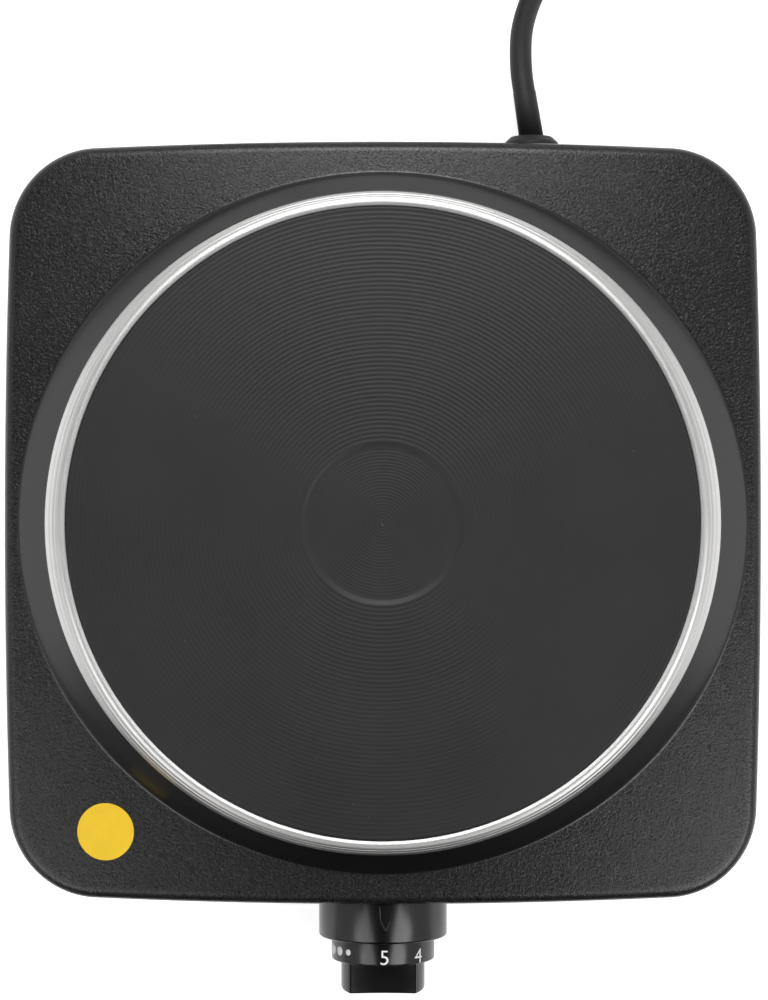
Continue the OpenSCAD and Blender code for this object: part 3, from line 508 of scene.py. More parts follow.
def knobPlasticFinish():
    plastic = {
        "colour": (0.003, 0.003, 0.0032, 1), "roughness": 0.22,
        "lines": 1400.0, "fine": 2200.0, "fineShare": 0.4, "depth": 0.006,
    }
    f = Finish("knobPlastic", Specular_IOR_Level=0.5)
    f.mottled(
        plastic["colour"], size=120.0, amount=0.12, roughness=plastic["roughness"], glossChange=0.03
    )
    # faint moulding lines round the knob: a fine noise that depends only on the distance from the wall
    along = addNode(f.tree, "SeparateXYZ", None, Vector=f.place).outputs["Y"]
    lined = lineNoise(f.tree, along, plastic["lines"], 2.0)
    fine = maths(f.tree, "MULTIPLY", f.fineNoise(plastic["fine"], 1.0), plastic["fineShare"])
    f.bump(maths(f.tree, "ADD", lined, fine), plastic["depth"])
    return f.material


def markPaintFinish():
    paint = {"colour": (0.93, 0.93, 0.92, 1), "size": 900.0, "amount": 0.06}
    f = Finish("markPaint", Roughness=0.45)
    f.mottled(**paint)
    return f.material


def rubberFinish(name, colour, roughness, grain=1.0):
    # dull rubber with a fine grain, coarser by the factor grain
    f = Finish(name, Specular_IOR_Level=0.5)
    f.mottled(colour, size=60.0, amount=0.16, roughness=roughness, glossChange=0.05)
    f.bump(f.fineNoise(1600.0 / grain, 3.0), distance=0.02)
    return f.material


def platedFinish(name, colour, roughness, size=120.0, amount=0.12, worn=1.25):
    # plated or bare metal: uneven colour and gloss, a rolled grain and brighter edges
    f = Finish(name, Metallic=1.0)
    mottle = f.mottled(colour, size, amount, roughness, glossChange=0.08)
    edge = f.group(edgeGroup, Radius=0.0004, Vector=f.place)
    bright = maths(f.tree, "MULTIPLY_ADD", edge["Mask"], worn - 1, 1.0)
    f.feed("Base Color", scaled(f.tree, mottle, bright))
    rolled = addNode(f.tree, "Mapping", None, Vector=f.place, Scale=(1.0, 14.0, 1.0)).outputs[0]
    f.bump(noise(f.tree, rolled, 260.0, 3.0), distance=0.008, normal=edge["Normal"])
    return f.material


def ceramicFinish(name, colour, roughness):
    # a dull mineral with dark specks and fine pores
    f = Finish(name)
    mottle = f.mottled(colour, size=150.0, amount=0.08, roughness=roughness, glossChange=0.08)
    f.spotted(mottle, (0.4, 0.36, 0.3, 1), strength=0.4, cells=900.0, size=0.12)
    edge = f.group(edgeGroup, Radius=0.0005, Vector=f.place)
    f.bump(f.fineNoise(2400.0, 3.0), distance=0.02, normal=edge["Normal"])
    return f.material


def plasticFinish(name, colour, roughness):
    # a moulded plastic or a wire's sleeve: a fine grain and rounded edges
    f = Finish(name)
    f.mottled(colour, size=200.0, amount=0.07, roughness=roughness, glossChange=0.05)
    edge = f.group(edgeGroup, Radius=0.0004, Vector=f.place)
    f.bump(f.fineNoise(2600.0, 2.0), distance=0.01, normal=edge["Normal"])
    return f.material


def braidFinish(name, colour):
    # a glass-fibre sleeve: the ribs of its braid are paler than the gaps between them
    f = Finish(name)
    mottle = f.mottled(colour, size=300.0, amount=0.15, roughness=0.8, glossChange=0.05)
    braid = f.group(weaveGroup, Vector=f.place, Density=5200.0)
    gap, rib = 0.7, 1.05  # shares of the colour in the gaps and on the ribs
    f.feed("Base Color", scaled(f.tree, mottle, rescale(f.tree, braid["Height"], -1.0, 1.0, gap, rib)))
    f.bump(braid["Height"], distance=0.06)
    return f.material


def lampRedFinish():
    red = {
        "colour": (0.55, 0.02, 0.012, 1), "size": 300.0, "amount": 0.08,
        "roughness": 0.14, "glossChange": 0.03,
    }
    f = Finish("lampRed", Transmission_Weight=0.5, IOR=1.49, Coat_Weight=0.4)
    f.mottled(**red)
    return f.material


def patchFinish():
    # a plain film that shows the coat's grain through it a little
    film = {
        "colour": (0.93, 0.6, 0.01, 1), "size": 220.0, "amount": 0.05,
        "roughness": 0.42, "glossChange": 0.04,
    }
    f = Finish("patchFilm", Coat_Weight=0.15)
    f.mottled(**film)
    wrinkle = f.group(wrinkleGroup, Vector=f.place, Grain=coatGrain, Presence=1.0)
    f.bump(wrinkle["Height"], distance=0.012)
    return f.material


finishes = {
    "powder_coat": powderCoatFinish(),
    "zinc_steel": platedFinish("zincSheet", (0.5, 0.51, 0.52, 1), 0.38, size=70.0, amount=0.2),
    "foot_rubber": rubberFinish("footRubber", (0.018, 0.018, 0.018, 1), 0.62, 1.6),
    "screw_steel": platedFinish("screwSteel", (0.6, 0.6, 0.61, 1), 0.3),
    "ring_steel": ringSteelFinish(),
    "plate_iron": plateIronFinish(),
    "mineral_fill": ceramicFinish("mineralFill", (0.62, 0.58, 0.5, 1), 0.9),
    "coil_wire": platedFinish("coilWire", (0.36, 0.34, 0.32, 1), 0.5),
    "steatite": ceramicFinish("steatite", (0.8, 0.76, 0.68, 1), 0.6),
    "brass_parts": platedFinish("brassParts", (0.72, 0.52, 0.22, 1), 0.28),
    "bimetal": platedFinish("bimetal", (0.5, 0.45, 0.36, 1), 0.4),
    "spring_bronze": platedFinish("springBronze", (0.66, 0.44, 0.24, 1), 0.32),
    "contact_silver": platedFinish("contactSilver", (0.82, 0.82, 0.8, 1), 0.22, amount=0.06),
    "knob_plastic": knobPlasticFinish(),
    "lamp_red": lampRedFinish(),
    "lamp_white": plasticFinish("lampWhite", (0.7, 0.7, 0.67, 1), 0.45),
    "cord_rubber": rubberFinish("cordRubber", (0.0075, 0.0075, 0.0078, 1), 0.6),
    "wire_brown": plasticFinish("wireBrown", (0.2, 0.08, 0.035, 1), 0.5),
    "wire_blue": plasticFinish("wireBlue", (0.03, 0.1, 0.38, 1), 0.5),
    "wire_white": braidFinish("glassSleeve", (0.74, 0.73, 0.68, 1)),
    "wire_green": plasticFinish("wireGreen", (0.13, 0.36, 0.05, 1), 0.5),
    "tie_plastic": plasticFinish("tiePlastic", (0.022, 0.022, 0.023, 1), 0.55),
    "pin_nickel": platedFinish("pinNickel", (0.7, 0.68, 0.64, 1), 0.2, amount=0.05, worn=1.1),
    "patch_yellow": patchFinish(),
}
markPaint = markPaintFinish()

for part in frame["record"]["subparts"]:
    node = nodes[part["node"]]
    node.data.materials.clear()
    node.data.materials.append(finishes[part["material_slot"]])
print("stage: materials")

# lead: gland, cord, tie and plug

leadSetup = {
    "radius": 3.4,
    "sides": 20,
    "steps": 4,
    "exit": (43.795, 146.579, 21.298),
    # the way down to the table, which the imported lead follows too
    "route": [
        (42.9, 153, 20.5), (42.7, 160, 18.4), (43.2, 167, 15.2), (44.9, 174, 11.7),
        (47.7, 181, 8.4), (51.7, 188, 5.8), (57.5, 195, 4.4),
    ],
    "coilCentre": (42.5, 236.0),
    "coilRadius": 37.5,
    "coilFloor": 4.1,
    "coilFrom": -55.0,
    "coilTo": 1200.0,
    "coilStep": 15.0,
    "turnShift": 60.0,
    "shiftAt": (300, 600, 900),
    # the way from the top of the coil to the back of the plug
    "endRoute": [(12, 265.6, 11.8), (2, 259.8, 14.6), (-8, 254.1, 17.9), (-13.7, 250.8, 18.5)],
}


def coilTurns(setup):
    # turns that climb and shift by a diameter: outer and inner on the table, then inner and outer on top
    a = np.arange(setup["coilFrom"], setup["coilTo"] + 0.1, setup["coilStep"])
    run, r = a - setup["coilFrom"], setup["radius"]
    inward, climb, outward = (smoothStep((run - at) / setup["turnShift"]) for at in setup["shiftAt"])
    radius = setup["coilRadius"] + r * (1 - 2 * inward + 2 * outward)
    height = setup["coilFloor"] + 2 * r * climb
    x = setup["coilCentre"][0] + radius * np.cos(np.radians(a))
    y = setup["coilCentre"][1] + radius * np.sin(np.radians(a))
    return np.stack([x, y, height], axis=1)


def makeLead(setup):
    # a round tube along the route, the coil's turns and the way to the plug
    points = np.vstack([[setup["exit"]], setup["route"], coilTurns(setup), setup["endRoute"]])
    path = smoothRoute(points, setup["steps"])
    piece = makePiece(
        "power_lead", sweep(path, setup["radius"], setup["sides"]), "cord_rubber",
        replaced=("power_cord", "cord_coil", "cord_end"),
    )
    return piece, path


lead, leadPath = makeLead(leadSetup)

glandSetup = {
    "x": 45.8, "z": 22.0, "wall": 1.2, "flange": 8.4, "outer": 6.3, "reach": 5.7,
    "neck": 6.0, "inner": 7.5, "depth": 3.7, "sleeveBase": 3.8, "sleeveEnd": 3.5, "past": 0.9, "bore": 3.3,
}


def makeGland(setup):
    # a domed flange on the wall and a bending sleeve that tapers along the lead
    wallY = boxOf("cord_bushing")[0][1] + setup["depth"]
    flange = filleted([
        (setup["bore"], -setup["depth"], 0), (setup["inner"], -setup["depth"], 0.6),
        (setup["inner"], -setup["wall"] - 0.1, 0.3), (setup["neck"], -setup["wall"] - 0.1, 0),
        (setup["neck"], 0.1, 0), (setup["flange"], 0.1, 0.3), (setup["flange"], setup["reach"] - 1.9, 1.1),
        (setup["outer"], setup["reach"], 0.7), (setup["sleeveBase"] + 0.5, setup["reach"], 0.3),
        (setup["sleeveBase"], setup["reach"] - 0.5, 0.2), (setup["bore"], setup["reach"] - 0.5, 0),
    ])
    start = np.array([setup["x"], wallY + setup["reach"], setup["z"]])
    end = np.array(leadSetup["exit"])
    length = float(np.linalg.norm(end - start)) + setup["past"]
    sleeve = filleted([
        (setup["bore"], -1.0, 0), (setup["sleeveBase"], -1.0, 0), (setup["sleeveEnd"], length, 0.1),
        (setup["bore"], length, 0),
    ])
    shape = combine([
        revolve(flange, 72, (setup["x"], wallY, setup["z"]), (0, 1, 0), closed=True),
        revolve(sleeve, 48, start, end - start, closed=True),
    ])
    return makePiece("lead_gland", shape, "cord_rubber", replaced=("cord_bushing",))


gland = makeGland(glandSetup)

tieSetup = {"from": 190.0, "width": 8.0, "thickness": 0.7, "edge": 0.15, "edgeShare": 0.03, "step": 5.0}


def makeTie(setup):
    # a strap round the turns that pass there: the outline of their circles, grown by the strap's thickness
    r, middle, floor = leadSetup["radius"], leadSetup["coilRadius"], leadSetup["coilFloor"]
    centres = np.array([(middle - r, floor), (middle + r, floor), (middle + r, floor + 2 * r)])
    around = np.radians(np.arange(0, 360, setup["step"]))
    ways = np.stack([np.cos(around), np.sin(around)], axis=1)
    furthest = centres[np.argmax(ways @ centres.T, axis=1)]
    span = setup["width"] / middle
    t, e, side = setup["thickness"], setup["edge"], setup["edgeShare"]
    # the strap's cross-section, from its inner face over both rounded edges
    section = [(0, 0), (1, 0), (1, t - e), (1 - side, t), (side, t), (0, t - e)]
    rows = []
    for along, thick in section:
        line = furthest + (r + thick) * ways
        angle = math.radians(setup["from"]) + along * span
        x = leadSetup["coilCentre"][0] + line[:, 0] * math.cos(angle)
        y = leadSetup["coilCentre"][1] + line[:, 0] * math.sin(angle)
        rows.append(np.stack([x, y, line[:, 1]], axis=1))
    shape = sheetOf(np.array(rows), wrapRows=True, wrapColumns=True)
    return makePiece("lead_tie", shape, "tie_plastic", replaced=("cord_tie",))


tie = makeTie(tieSetup)

plugSetup = {
    "heading": 210.0, "back": (-14.0, 250.6, 18.5), "sleeve": 24.0, "length": 34.0, "radius": 18.5,
    "front": 42.4, "waist": 15.6, "rim": 1.9, "dish": 0.9,
    "notchWidth": 7.0, "notchDepth": 2.3, "notchEdge": 0.5,
    "sleeveRibs": 6, "sleeveRibDepth": 0.45, "sleeveRibsFrom": 1.5, "sleeveRibsTo": 22.0,
    "gripRibs": 9, "gripRibDepth": 0.35, "gripFrom": 28.0, "gripTo": 40.0, "gripFade": 2.0, "rowGap": 0.45,
}
plugTurn = math.radians(plugSetup["heading"])
plugWay = np.array([math.cos(plugTurn), math.sin(plugTurn), 0])


def makePlug(setup):
    # a round moulded plug: ribbed bending sleeve, waisted grip with ribs, front with two earth notches; its
    # radius over length and angle is the contour, less cosine ribs, and no more than the notches' flats
    total = setup["sleeve"] + setup["length"]
    full, front, dish = setup["radius"], setup["front"], total - setup["dish"]
    contour = filleted([
        (0, 0, 0), (4.5, 0, 0.4), (6.6, 23.4, 1.0), (11.8, 27.2, 2.0), (14.8, 34, 6.0),
        (setup["waist"], front - 1.9, 1.2), (full, front, 0.9), (full, total, 0.8),
        (full - setup["rim"], total, 0.4), (full - setup["rim"] - 0.2, dish, 0.4), (0, dish, 0),
    ])
    # finer rows, so that ribs and notches have points to move
    gaps = np.hypot(*np.diff(contour, axis=0).T)
    at = np.concatenate([[0], np.cumsum(gaps)])
    fine = np.unique(np.concatenate([at, np.arange(0, at[-1], setup["rowGap"])]))
    r, h = (np.interp(fine, at, contour[:, k])[:, None] for k in (0, 1))
    a = np.linspace(0, 2 * math.pi, 96, endpoint=False)
    sleeveWave = np.cos(2 * math.pi * setup["sleeveRibs"] * h / setup["sleeve"]) - 1
    onSleeve = (h > setup["sleeveRibsFrom"]) & (h < setup["sleeveRibsTo"]) & (r > 3)
    r = r + setup["sleeveRibDepth"] * sleeveWave * onSleeve
    gripFrom, gripTo, fade = setup["gripFrom"], setup["gripTo"], setup["gripFade"]
    onGrip = smoothStep((h - gripFrom - 0.5) / fade) * smoothStep((gripTo - h) / fade)
    gripWave = np.cos(2 * math.pi * setup["gripRibs"] * (h - gripFrom) / (gripTo - gripFrom)) - 1
    across = np.abs(np.cos(a))[None, :]
    radius = r + setup["gripRibDepth"] * gripWave * onGrip * smoothStep((across - 0.45) / 0.2)
    # earth notches: the round front is cut back to a flat on two opposite sides
    aside = np.abs(radius * np.sin(a)[None, :])
    inNotch = smoothStep((setup["notchWidth"] / 2 + 0.4 - aside) / setup["notchEdge"]) * (across > 0.5)
    inNotch = inNotch * smoothStep((h - front) / 0.7)
    flatAt = (full - setup["notchDepth"]) / np.maximum(across, 0.5)
    radius = radius * (1 - inNotch) + np.minimum(radius, flatAt) * inNotch
    u = np.array([0, 0, 1.0])
    v = np.cross(plugWay, u)
    ways = np.cos(a)[None, :, None] * u + np.sin(a)[None, :, None] * v
    points = np.array(setup["back"]) + radius[..., None] * ways + h[..., None] * plugWay
    shape = sheetOf(points, wrapColumns=True)
    return makePiece("mains_plug", shape, "cord_rubber", replaced=("plug_body",))


plug = makePlug(plugSetup)

clipSetup = {
    "low": 0.15, "bow": 0.75, "crown": 0.1, "back": 13.5, "length": 12.4, "half": 2.3, "sheet": 0.5,
}


def makeEarthClips(setup, clip):
    # two thin springy strips in the notches: the height over the flat is a half sine wave along the strip,
    # less a small square across it
    up, across = np.array([0, 0, 1.0]), np.cross(plugWay, [0, 0, 1.0])
    along = np.linspace(0, 1, 15)[:, None]
    over = np.linspace(-1, 1, 7)[None, :]
    base = setup["radius"] - setup["notchDepth"] - clip["low"]
    lift = clip["bow"] * np.sin(math.pi * along) + clip["low"] - clip["crown"] * over**2
    h = setup["sleeve"] + setup["length"] - clip["back"] + clip["length"] * along + 0 * over
    flat = np.array(setup["back"]) + (clip["half"] * over + 0 * along)[..., None] * across
    parts = []
    for side in (-1, 1):
        outer, inner = (
            flat + (side * (base + lift + thick))[..., None] * up + h[..., None] * plugWay
            for thick in (0.0, -clip["sheet"])
        )
        closed = np.concatenate([outer, inner[:, ::-1]], axis=1)
        parts.append(sheetOf(closed, wrapColumns=True))
        parts += [sheetOf(np.stack([outer[k], inner[k]])) for k in (0, -1)]
    return makePiece("plug_earth_clips", combine(parts), "pin_nickel")


earthClips = makeEarthClips(plugSetup, clipSetup)

# housing

housingSetup = {
    "bulge": 1.4, "corner": 27.0, "sheet": 1.2, "topZ": 54.5, "archDrop": 6.5, "edge": 3.0,
    "collar": 99.3, "collarSlope": 0.7, "collarLift": 2.1, "step": 2.7, "crease": 0.45,
    "sideSteps": 56, "cornerSteps": 26, "archRows": 22, "edgeRows": 9, "wallRows": 11, "roomOver": 5.0,
    # rows over the opening's shelf; then the collar's edge as (distance back, share of its rise, drop)
    "shelfRows": (89.0, 91.0, 94.0),
    "collarRows": (
        (1.6, 0.0, 0.0), (1.0, 0.35, 0.0), (0.65, 0.8, 0.0), (0.4, 1.0, 0.05), (0.2, 1.0, 0.12),
    ),
    # rows close to the crease between band and arch, by their distance from it
    "creaseRows": (-1.9, -1.4, -1.0, -0.6, -0.3, 0.0, 0.3, 0.6, 1.0, 1.4, 1.9, 2.6),
    "bandEnd": 2.4, "creaseGuess": 106.0,
}


def outline(setup, inset):
    # a rounded square with bowed sides, drawn in by inset: a side is half + bulge(1 - t^2), a corner an arc
    width, depth = housingHigh[0] - housingLow[0], housingHigh[1] - housingLow[1]
    halves = np.array([width, depth]) / 2 - setup["bulge"]
    corners = halves - setup["corner"]
    quarters = []
    for k in range(4):
        far, along = (halves[0], corners[1]) if k % 2 == 0 else (halves[1], corners[0])
        t = np.linspace(-1, 1, setup["sideSteps"], endpoint=False)
        side = np.stack([far - inset + setup["bulge"] * (1 - t**2), along * t], axis=1)
        a = np.linspace(0, math.pi / 2, setup["cornerSteps"], endpoint=False)
        reach = setup["corner"] - inset
        arc = np.stack([far - setup["corner"] + reach * np.cos(a), along + reach * np.sin(a)], axis=1)
        quarter = np.vstack([side, arc])
        turn = k * math.pi / 2
        c, s = math.cos(turn), math.sin(turn)
        quarters.append(quarter @ np.array([[c, s], [-s, c]]))
    return np.vstack(quarters)


def archAt(setup, x):
    # the top's height: it falls from the middle by a square towards the left and right sides
    width = housingHigh[0] - housingLow[0]
    return setup["topZ"] - setup["archDrop"] * (2 * x / width) ** 2


def collarEdge(setup, way):
    # the collar is cut lower at the left and right than at the front and back, on one slope
    radius = setup["collar"] - setup["collarLift"] * way[:, 1] ** 2
    return radius, platformZ + (setup["collar"] - radius) / setup["collarSlope"]


def softBlend(setup, r, way, slopeZ):
    # the greater of the collar's slope and the arch, with the valley between them rounded
    return -softLess(-slopeZ(r), -archAt(setup, r * way[:, 0]), setup["crease"])


def makeHousing(setup):
    # rows of points from the plate's opening over the collar and the arched top, down the wall to its end
    rim = outline(setup, setup["edge"])
    reach = np.linalg.norm(rim, axis=1)
    way = rim / reach[:, None]
    edgeR, edgeZ = collarEdge(setup, way)

    def slopeZ(r):
        # from a small step under the ring's edge the band goes down at 45 degrees
        return edgeZ - setup["step"] - (r - edgeR)

    # where the collar's slope meets the arch, found by repeated correction
    creaseR = np.full(len(way), setup["creaseGuess"])
    for _ in range(12):
        creaseR += (slopeZ(creaseR) - archAt(setup, creaseR * way[:, 0])) * 0.8
    # the rows beyond the crease close up where the housing's side is near
    room = np.clip((reach - creaseR) / setup["roomOver"], 0, 1)
    rows, textured = [], []

    def addRow(radius, z, coat):
        rows.append(np.column_stack([radius[:, None] * way, z]))
        textured.append(np.full(len(way), coat))

    full = np.ones(len(way))
    for r in setup["shelfRows"]:
        addRow(r * full, platformZ * full, 0.0)
    rise = edgeZ - platformZ
    for back, share, drop in setup["collarRows"]:
        addRow(edgeR - back, platformZ + rise * share - drop * (rise > 0), 0.0)
    # the small upright step under the ring's edge
    addRow(edgeR - 0.02, edgeZ - 0.45, 0.0)
    addRow(edgeR, slopeZ(edgeR) + 0.3, 0.0)
    for t in np.linspace(0.04, 1, 10):
        r = edgeR + (creaseR - setup["bandEnd"] - edgeR) * t
        addRow(r, softBlend(setup, r, way, slopeZ), 0.0)
    for d in setup["creaseRows"]:
        r = creaseR + d * (room if d > 0 else 1)
        addRow(r, softBlend(setup, r, way, slopeZ), float(smoothStep((d + 0.2) / 0.8)))
    start = creaseR + setup["creaseRows"][-1] * room
    for t in np.linspace(0, 1, setup["archRows"])[1:]:
        r = start + (reach - start) * t
        addRow(r, archAt(setup, r * way[:, 0]), 1.0)
    for b in np.radians(np.linspace(0, 90, setup["edgeRows"])[1:]):
        line = outline(setup, setup["edge"] * (1 - math.sin(b)))
        rows.append(np.column_stack([line, archAt(setup, line[:, 0]) - setup["edge"] * (1 - math.cos(b))]))
        textured.append(full)
    wall = outline(setup, 0.0)
    top = archAt(setup, wall[:, 0]) - setup["edge"]
    for t in np.linspace(0, 1, setup["wallRows"])[1:]:
        rows.append(np.column_stack([wall, top + (housingLow[2] - top) * t]))
        textured.append(full)
    points = np.array(rows) + [plateAxis[0], plateAxis[1], 0]
    piece = makePiece(
        "housing_shell", sheetOf(points, wrapColumns=True), "powder_coat",
        replaced=("housing",), marks={"textured": np.array(textured)},
    )
    giveSheet(piece, setup["sheet"], even=True)


makeHousing(housingSetup)
print("stage: housing")

# spill ring

ringSetup = {
    "flange": 88.0, "inner": 92.7, "crownZ": 66.8, "crownTo": 95.6, "seat": 61.6,
    "sheet": 0.5, "segments": 288, "lip": 1.5, "bow": 0.45,
    "lines": (0.3, 0.62), "lineDepth": 0.11, "lineWidth": 0.055,
}


def makeSpillRing(setup):
    # a pressed ring: seat flange, upright inner wall, crown, and a skirt that follows the collar's edge
    a = np.linspace(0, 2 * math.pi, setup["segments"], endpoint=False)
    way = np.stack([np.cos(a), np.sin(a)], axis=1)
    edgeR, edgeZ = collarEdge(housingSetup, way)
    fixed = filleted([
        (setup["flange"], setup["seat"], 0), (setup["inner"], setup["seat"], 0.5),
        (setup["inner"], setup["crownZ"] - 0.25, 0.4), (setup["inner"] + 1.2, setup["crownZ"], 1.5),
        (setup["crownTo"] - 0.6, setup["crownZ"], 0),
    ], steps=6)
    rows = [np.column_stack([r * way, np.full(len(a), z)]) for r, z in fixed]
    # the skirt bends down to about 45 degrees, with two fine turned lines, and ends in an upright lip
    topR, topZ = fixed[-1]
    outR, outZ = edgeR - 0.1, edgeZ + setup["lip"]
    lines = np.array(setup["lines"])
    for t in np.linspace(0, 1, 41)[1:]:
        r = topR + (outR - topR) * t
        bend = setup["bow"] * t**2 + (1 - setup["bow"]) * t
        notch = setup["lineDepth"] * np.exp(-(((t - lines) / setup["lineWidth"]) ** 2)).sum()
        rows.append(np.column_stack([r[:, None] * way, topZ + (outZ - topZ) * bend - notch]))
    for out, down in ((0.08, 0.12), (0.12, 0.3), (0.12, setup["lip"] - 0.1)):
        rows.append(np.column_stack([(outR + out)[:, None] * way, outZ - down]))
    points = np.array(rows) + [plateAxis[0], plateAxis[1], 0]
    shape = sheetOf(points, wrapColumns=True)
    piece = makePiece("spill_ring_bright", shape, "ring_steel", replaced=("spill_ring",))
    giveSheet(piece, setup["sheet"])


makeSpillRing(ringSetup)
print("stage: spill ring")

# cooking plate

plateSetup = {
    "radius": 92.5, "edge": 0.35, "body": 86.5, "under": 51.0, "seat": 61.6,
    "recess": 22.3, "recessEnd": 24.2, "recessDepth": 0.4,
    "outerPitch": 1.3, "innerPitch": 0.95, "grooveDepth": 0.075, "innerDepth": 0.048,
    "samples": 4, "segments": 200, "centreMark": ((0, 0.28), (0.35, 0.2), (0.65, 0.02)),
    "channels": (34.0, 54.0, 74.0), "channelWidth": 14.0, "channelTop": 60.0, "stud": 3.0, "studTop": 58.0,
}


def grooves(distance, depth, pitch):
    # how far a cosine wave of grooves goes down at a distance from where it starts
    return depth * (0.5 - 0.5 * np.cos(2 * math.pi * distance / pitch))


def makeCookingPlate(setup):
    # a turned disc: the face has a cosine wave of grooves, coarse outside the recess and fine within it
    top, recess, recessEnd = plateHigh[2], setup["recess"], setup["recessEnd"]
    radius, under, seat, e = setup["radius"], setup["under"], setup["seat"], setup["edge"]
    floor = top - setup["recessDepth"]
    inner = np.arange(0.9, recess - 0.2, setup["innerPitch"] / setup["samples"])
    outer = np.arange(recessEnd + 0.3, radius - e - 0.35, setup["outerPitch"] / setup["samples"])
    step = np.linspace(0, 1, 7)
    b = np.radians(np.linspace(0, 90, 6))
    face = [(r, floor - deep) for r, deep in setup["centreMark"]]
    face += list(zip(inner, floor - grooves(inner, setup["innerDepth"], setup["innerPitch"])))
    rim = recess + (recessEnd - recess) * step
    face += list(zip(rim, top - setup["recessDepth"] * (1 - smoothStep(step))))
    face += list(zip(outer, top - grooves(outer - recessEnd, setup["grooveDepth"], setup["outerPitch"])))
    face += list(zip(radius - e + e * np.sin(b), top - e + e * np.cos(b)))
    face += [(radius, seat + 0.3), (radius - 0.3, seat), (setup["body"], seat)]
    face += [(setup["body"], under + 0.5), (setup["body"] - 0.5, under)]
    for channel in reversed(setup["channels"]):
        far, near = channel + setup["channelWidth"] / 2, channel - setup["channelWidth"] / 2
        face += [(far, under), (far, setup["channelTop"]), (near, setup["channelTop"]), (near, under)]
    face += [(setup["stud"], under), (setup["stud"], setup["studTop"]), (0, setup["studTop"])]
    shape = revolve(np.array(face), setup["segments"], (plateAxis[0], plateAxis[1], 0))
    return makePiece("cooking_plate", shape, "plate_iron", replaced=("hob_plate",))


makeCookingPlate(plateSetup)
print("stage: cooking plate")

# knob and its collar

outwards = (0, -1, 0)
knobCentre = (0.0, wallFront, knobAxisZ)
knobSetup = {
    "skirt": 15.65, "back": 8.3, "front": 19.4, "wall": 2.2, "frontWall": 3.0,
    "hub": 5.5, "bore": 3.02, "boreEnd": 16.0,
    "gripHalf": 12.75, "gripThick": 8.0, "hollow": 70.0, "blend": 0.15, "beyond": 60.0,
    "tip": 29.1, "edgeRound": 0.5, "cornerRound": 1.5,
    # the grip's foot as (how much wider, height over the skirt's front), and its front face's rings
    "footRows": ((0.45, -0.1), (0.2, 0.12), (0.05, 0.4), (0.0, 0.9)),
    "faceRings": (0.93, 0.8, 0.6, 0.35, 0.0),
}


def makeKnob(setup):
    # a hollow turned skirt with a hub, and a grip bar whose long sides are hollow
    hubBack, innerFront = setup["back"] + 1, setup["front"] - setup["frontWall"]
    inner = setup["skirt"] - setup["wall"]
    skirt = filleted([
        (0, setup["boreEnd"], 0), (setup["bore"], setup["boreEnd"], 0), (setup["bore"], hubBack, 0),
        (setup["hub"], hubBack, 0.2), (setup["hub"], innerFront, 0.4), (inner, innerFront, 0.4),
        (inner, setup["back"], 0.2), (setup["skirt"], setup["back"], 0.4),
        (setup["skirt"], setup["front"], 0.55), (0, setup["front"], 0),
    ])
    a = np.linspace(0, 2 * math.pi, 320, endpoint=False)
    # the grip's outline: a circle, and on each long side an arc that bends inwards
    away = setup["gripThick"] + setup["hollow"] - setup["gripHalf"] ** 2 / (2 * setup["hollow"])
    touching = away**2 - setup["hollow"] ** 2
    lean = away * np.abs(np.sin(a))
    inside = np.sqrt(np.maximum(lean**2 - touching, 0))
    hollow = np.where(lean > 1.02 * math.sqrt(touching), lean - inside, setup["beyond"])
    rho = softLess(hollow, np.full_like(a, setup["gripHalf"]), setup["blend"])
    # the front edge is rounded more at the two round ends than along the hollow sides
    tipRound = setup["edgeRound"] + (setup["cornerRound"] - setup["edgeRound"]) * np.cos(a) ** 6
    way = np.stack([np.cos(a), np.zeros_like(a), np.sin(a)], axis=1)
    straight = np.linspace(setup["front"] + 2, setup["tip"] - setup["cornerRound"] - 0.6, 5)
    rings = [(rho + grow, setup["front"] + over + 0 * a) for grow, over in setup["footRows"]]
    rings += [(rho, h + 0 * a) for h in straight]
    for b in np.radians(np.linspace(0, 90, 8)):
        rings.append((rho - tipRound * (1 - math.cos(b)), setup["tip"] - tipRound * (1 - math.sin(b))))
    rings += [((rho - tipRound) * share, setup["tip"] + 0 * a) for share in setup["faceRings"]]
    rows = [np.array(knobCentre) + r[:, None] * way + h[:, None] * np.array(outwards) for r, h in rings]
    shape = combine([revolve(skirt, 144, knobCentre, outwards), sheetOf(np.array(rows), wrapColumns=True)])
    return makePiece("turning_knob", shape, "knob_plastic", body="heat_knob", replaced=("knob",))


makeKnob(knobSetup)

collarSetup = {"radius": 19.5, "reach": 12.3, "web": 2.0, "bore": 16.05, "bush": 5.0}


def makeCollar(setup):
    # a turned ring with a web at its back
    profile = filleted([
        (setup["bush"], 0, 0), (setup["radius"], 0, 0.3), (setup["radius"], setup["reach"], 0.8),
        (setup["bore"], setup["reach"], 0.35), (setup["bore"], setup["web"], 0.5),
        (setup["bush"], setup["web"], 0),
    ])
    shape = revolve(profile, 180, knobCentre, outwards, closed=True)
    return makePiece("knob_collar", shape, "knob_plastic", replaced=("knob_bezel",))


makeCollar(collarSetup)


def bentOn(flat, radius):
    # lays flat (across, along, up) points on a cylinder round the knob's axis: the angle is across / radius
    angle = flat[:, 0] / radius
    r = radius + flat[:, 2]
    x, z = r * np.sin(angle), knobCentre[2] + r * np.cos(angle)
    return np.column_stack([x, knobCentre[1] - flat[:, 1], z])


markSetup = {
    "digitHeight": 4.3, "wordShare": 0.62, "digitMiddle": 16.85, "thicken": -0.004,
    "raise": 0.05, "sink": 0.12, "cutGap": 0.08,
    "digits": {"5": 1.7, "4": 43.0, "3": 83.0, "2": 124.0, "1": 165.0, "OFF": 206.0},
    "dots": {-42.0: 0.95, -56.5: 1.4, -72.6: 1.7}, "dotMiddle": 15.9,
}


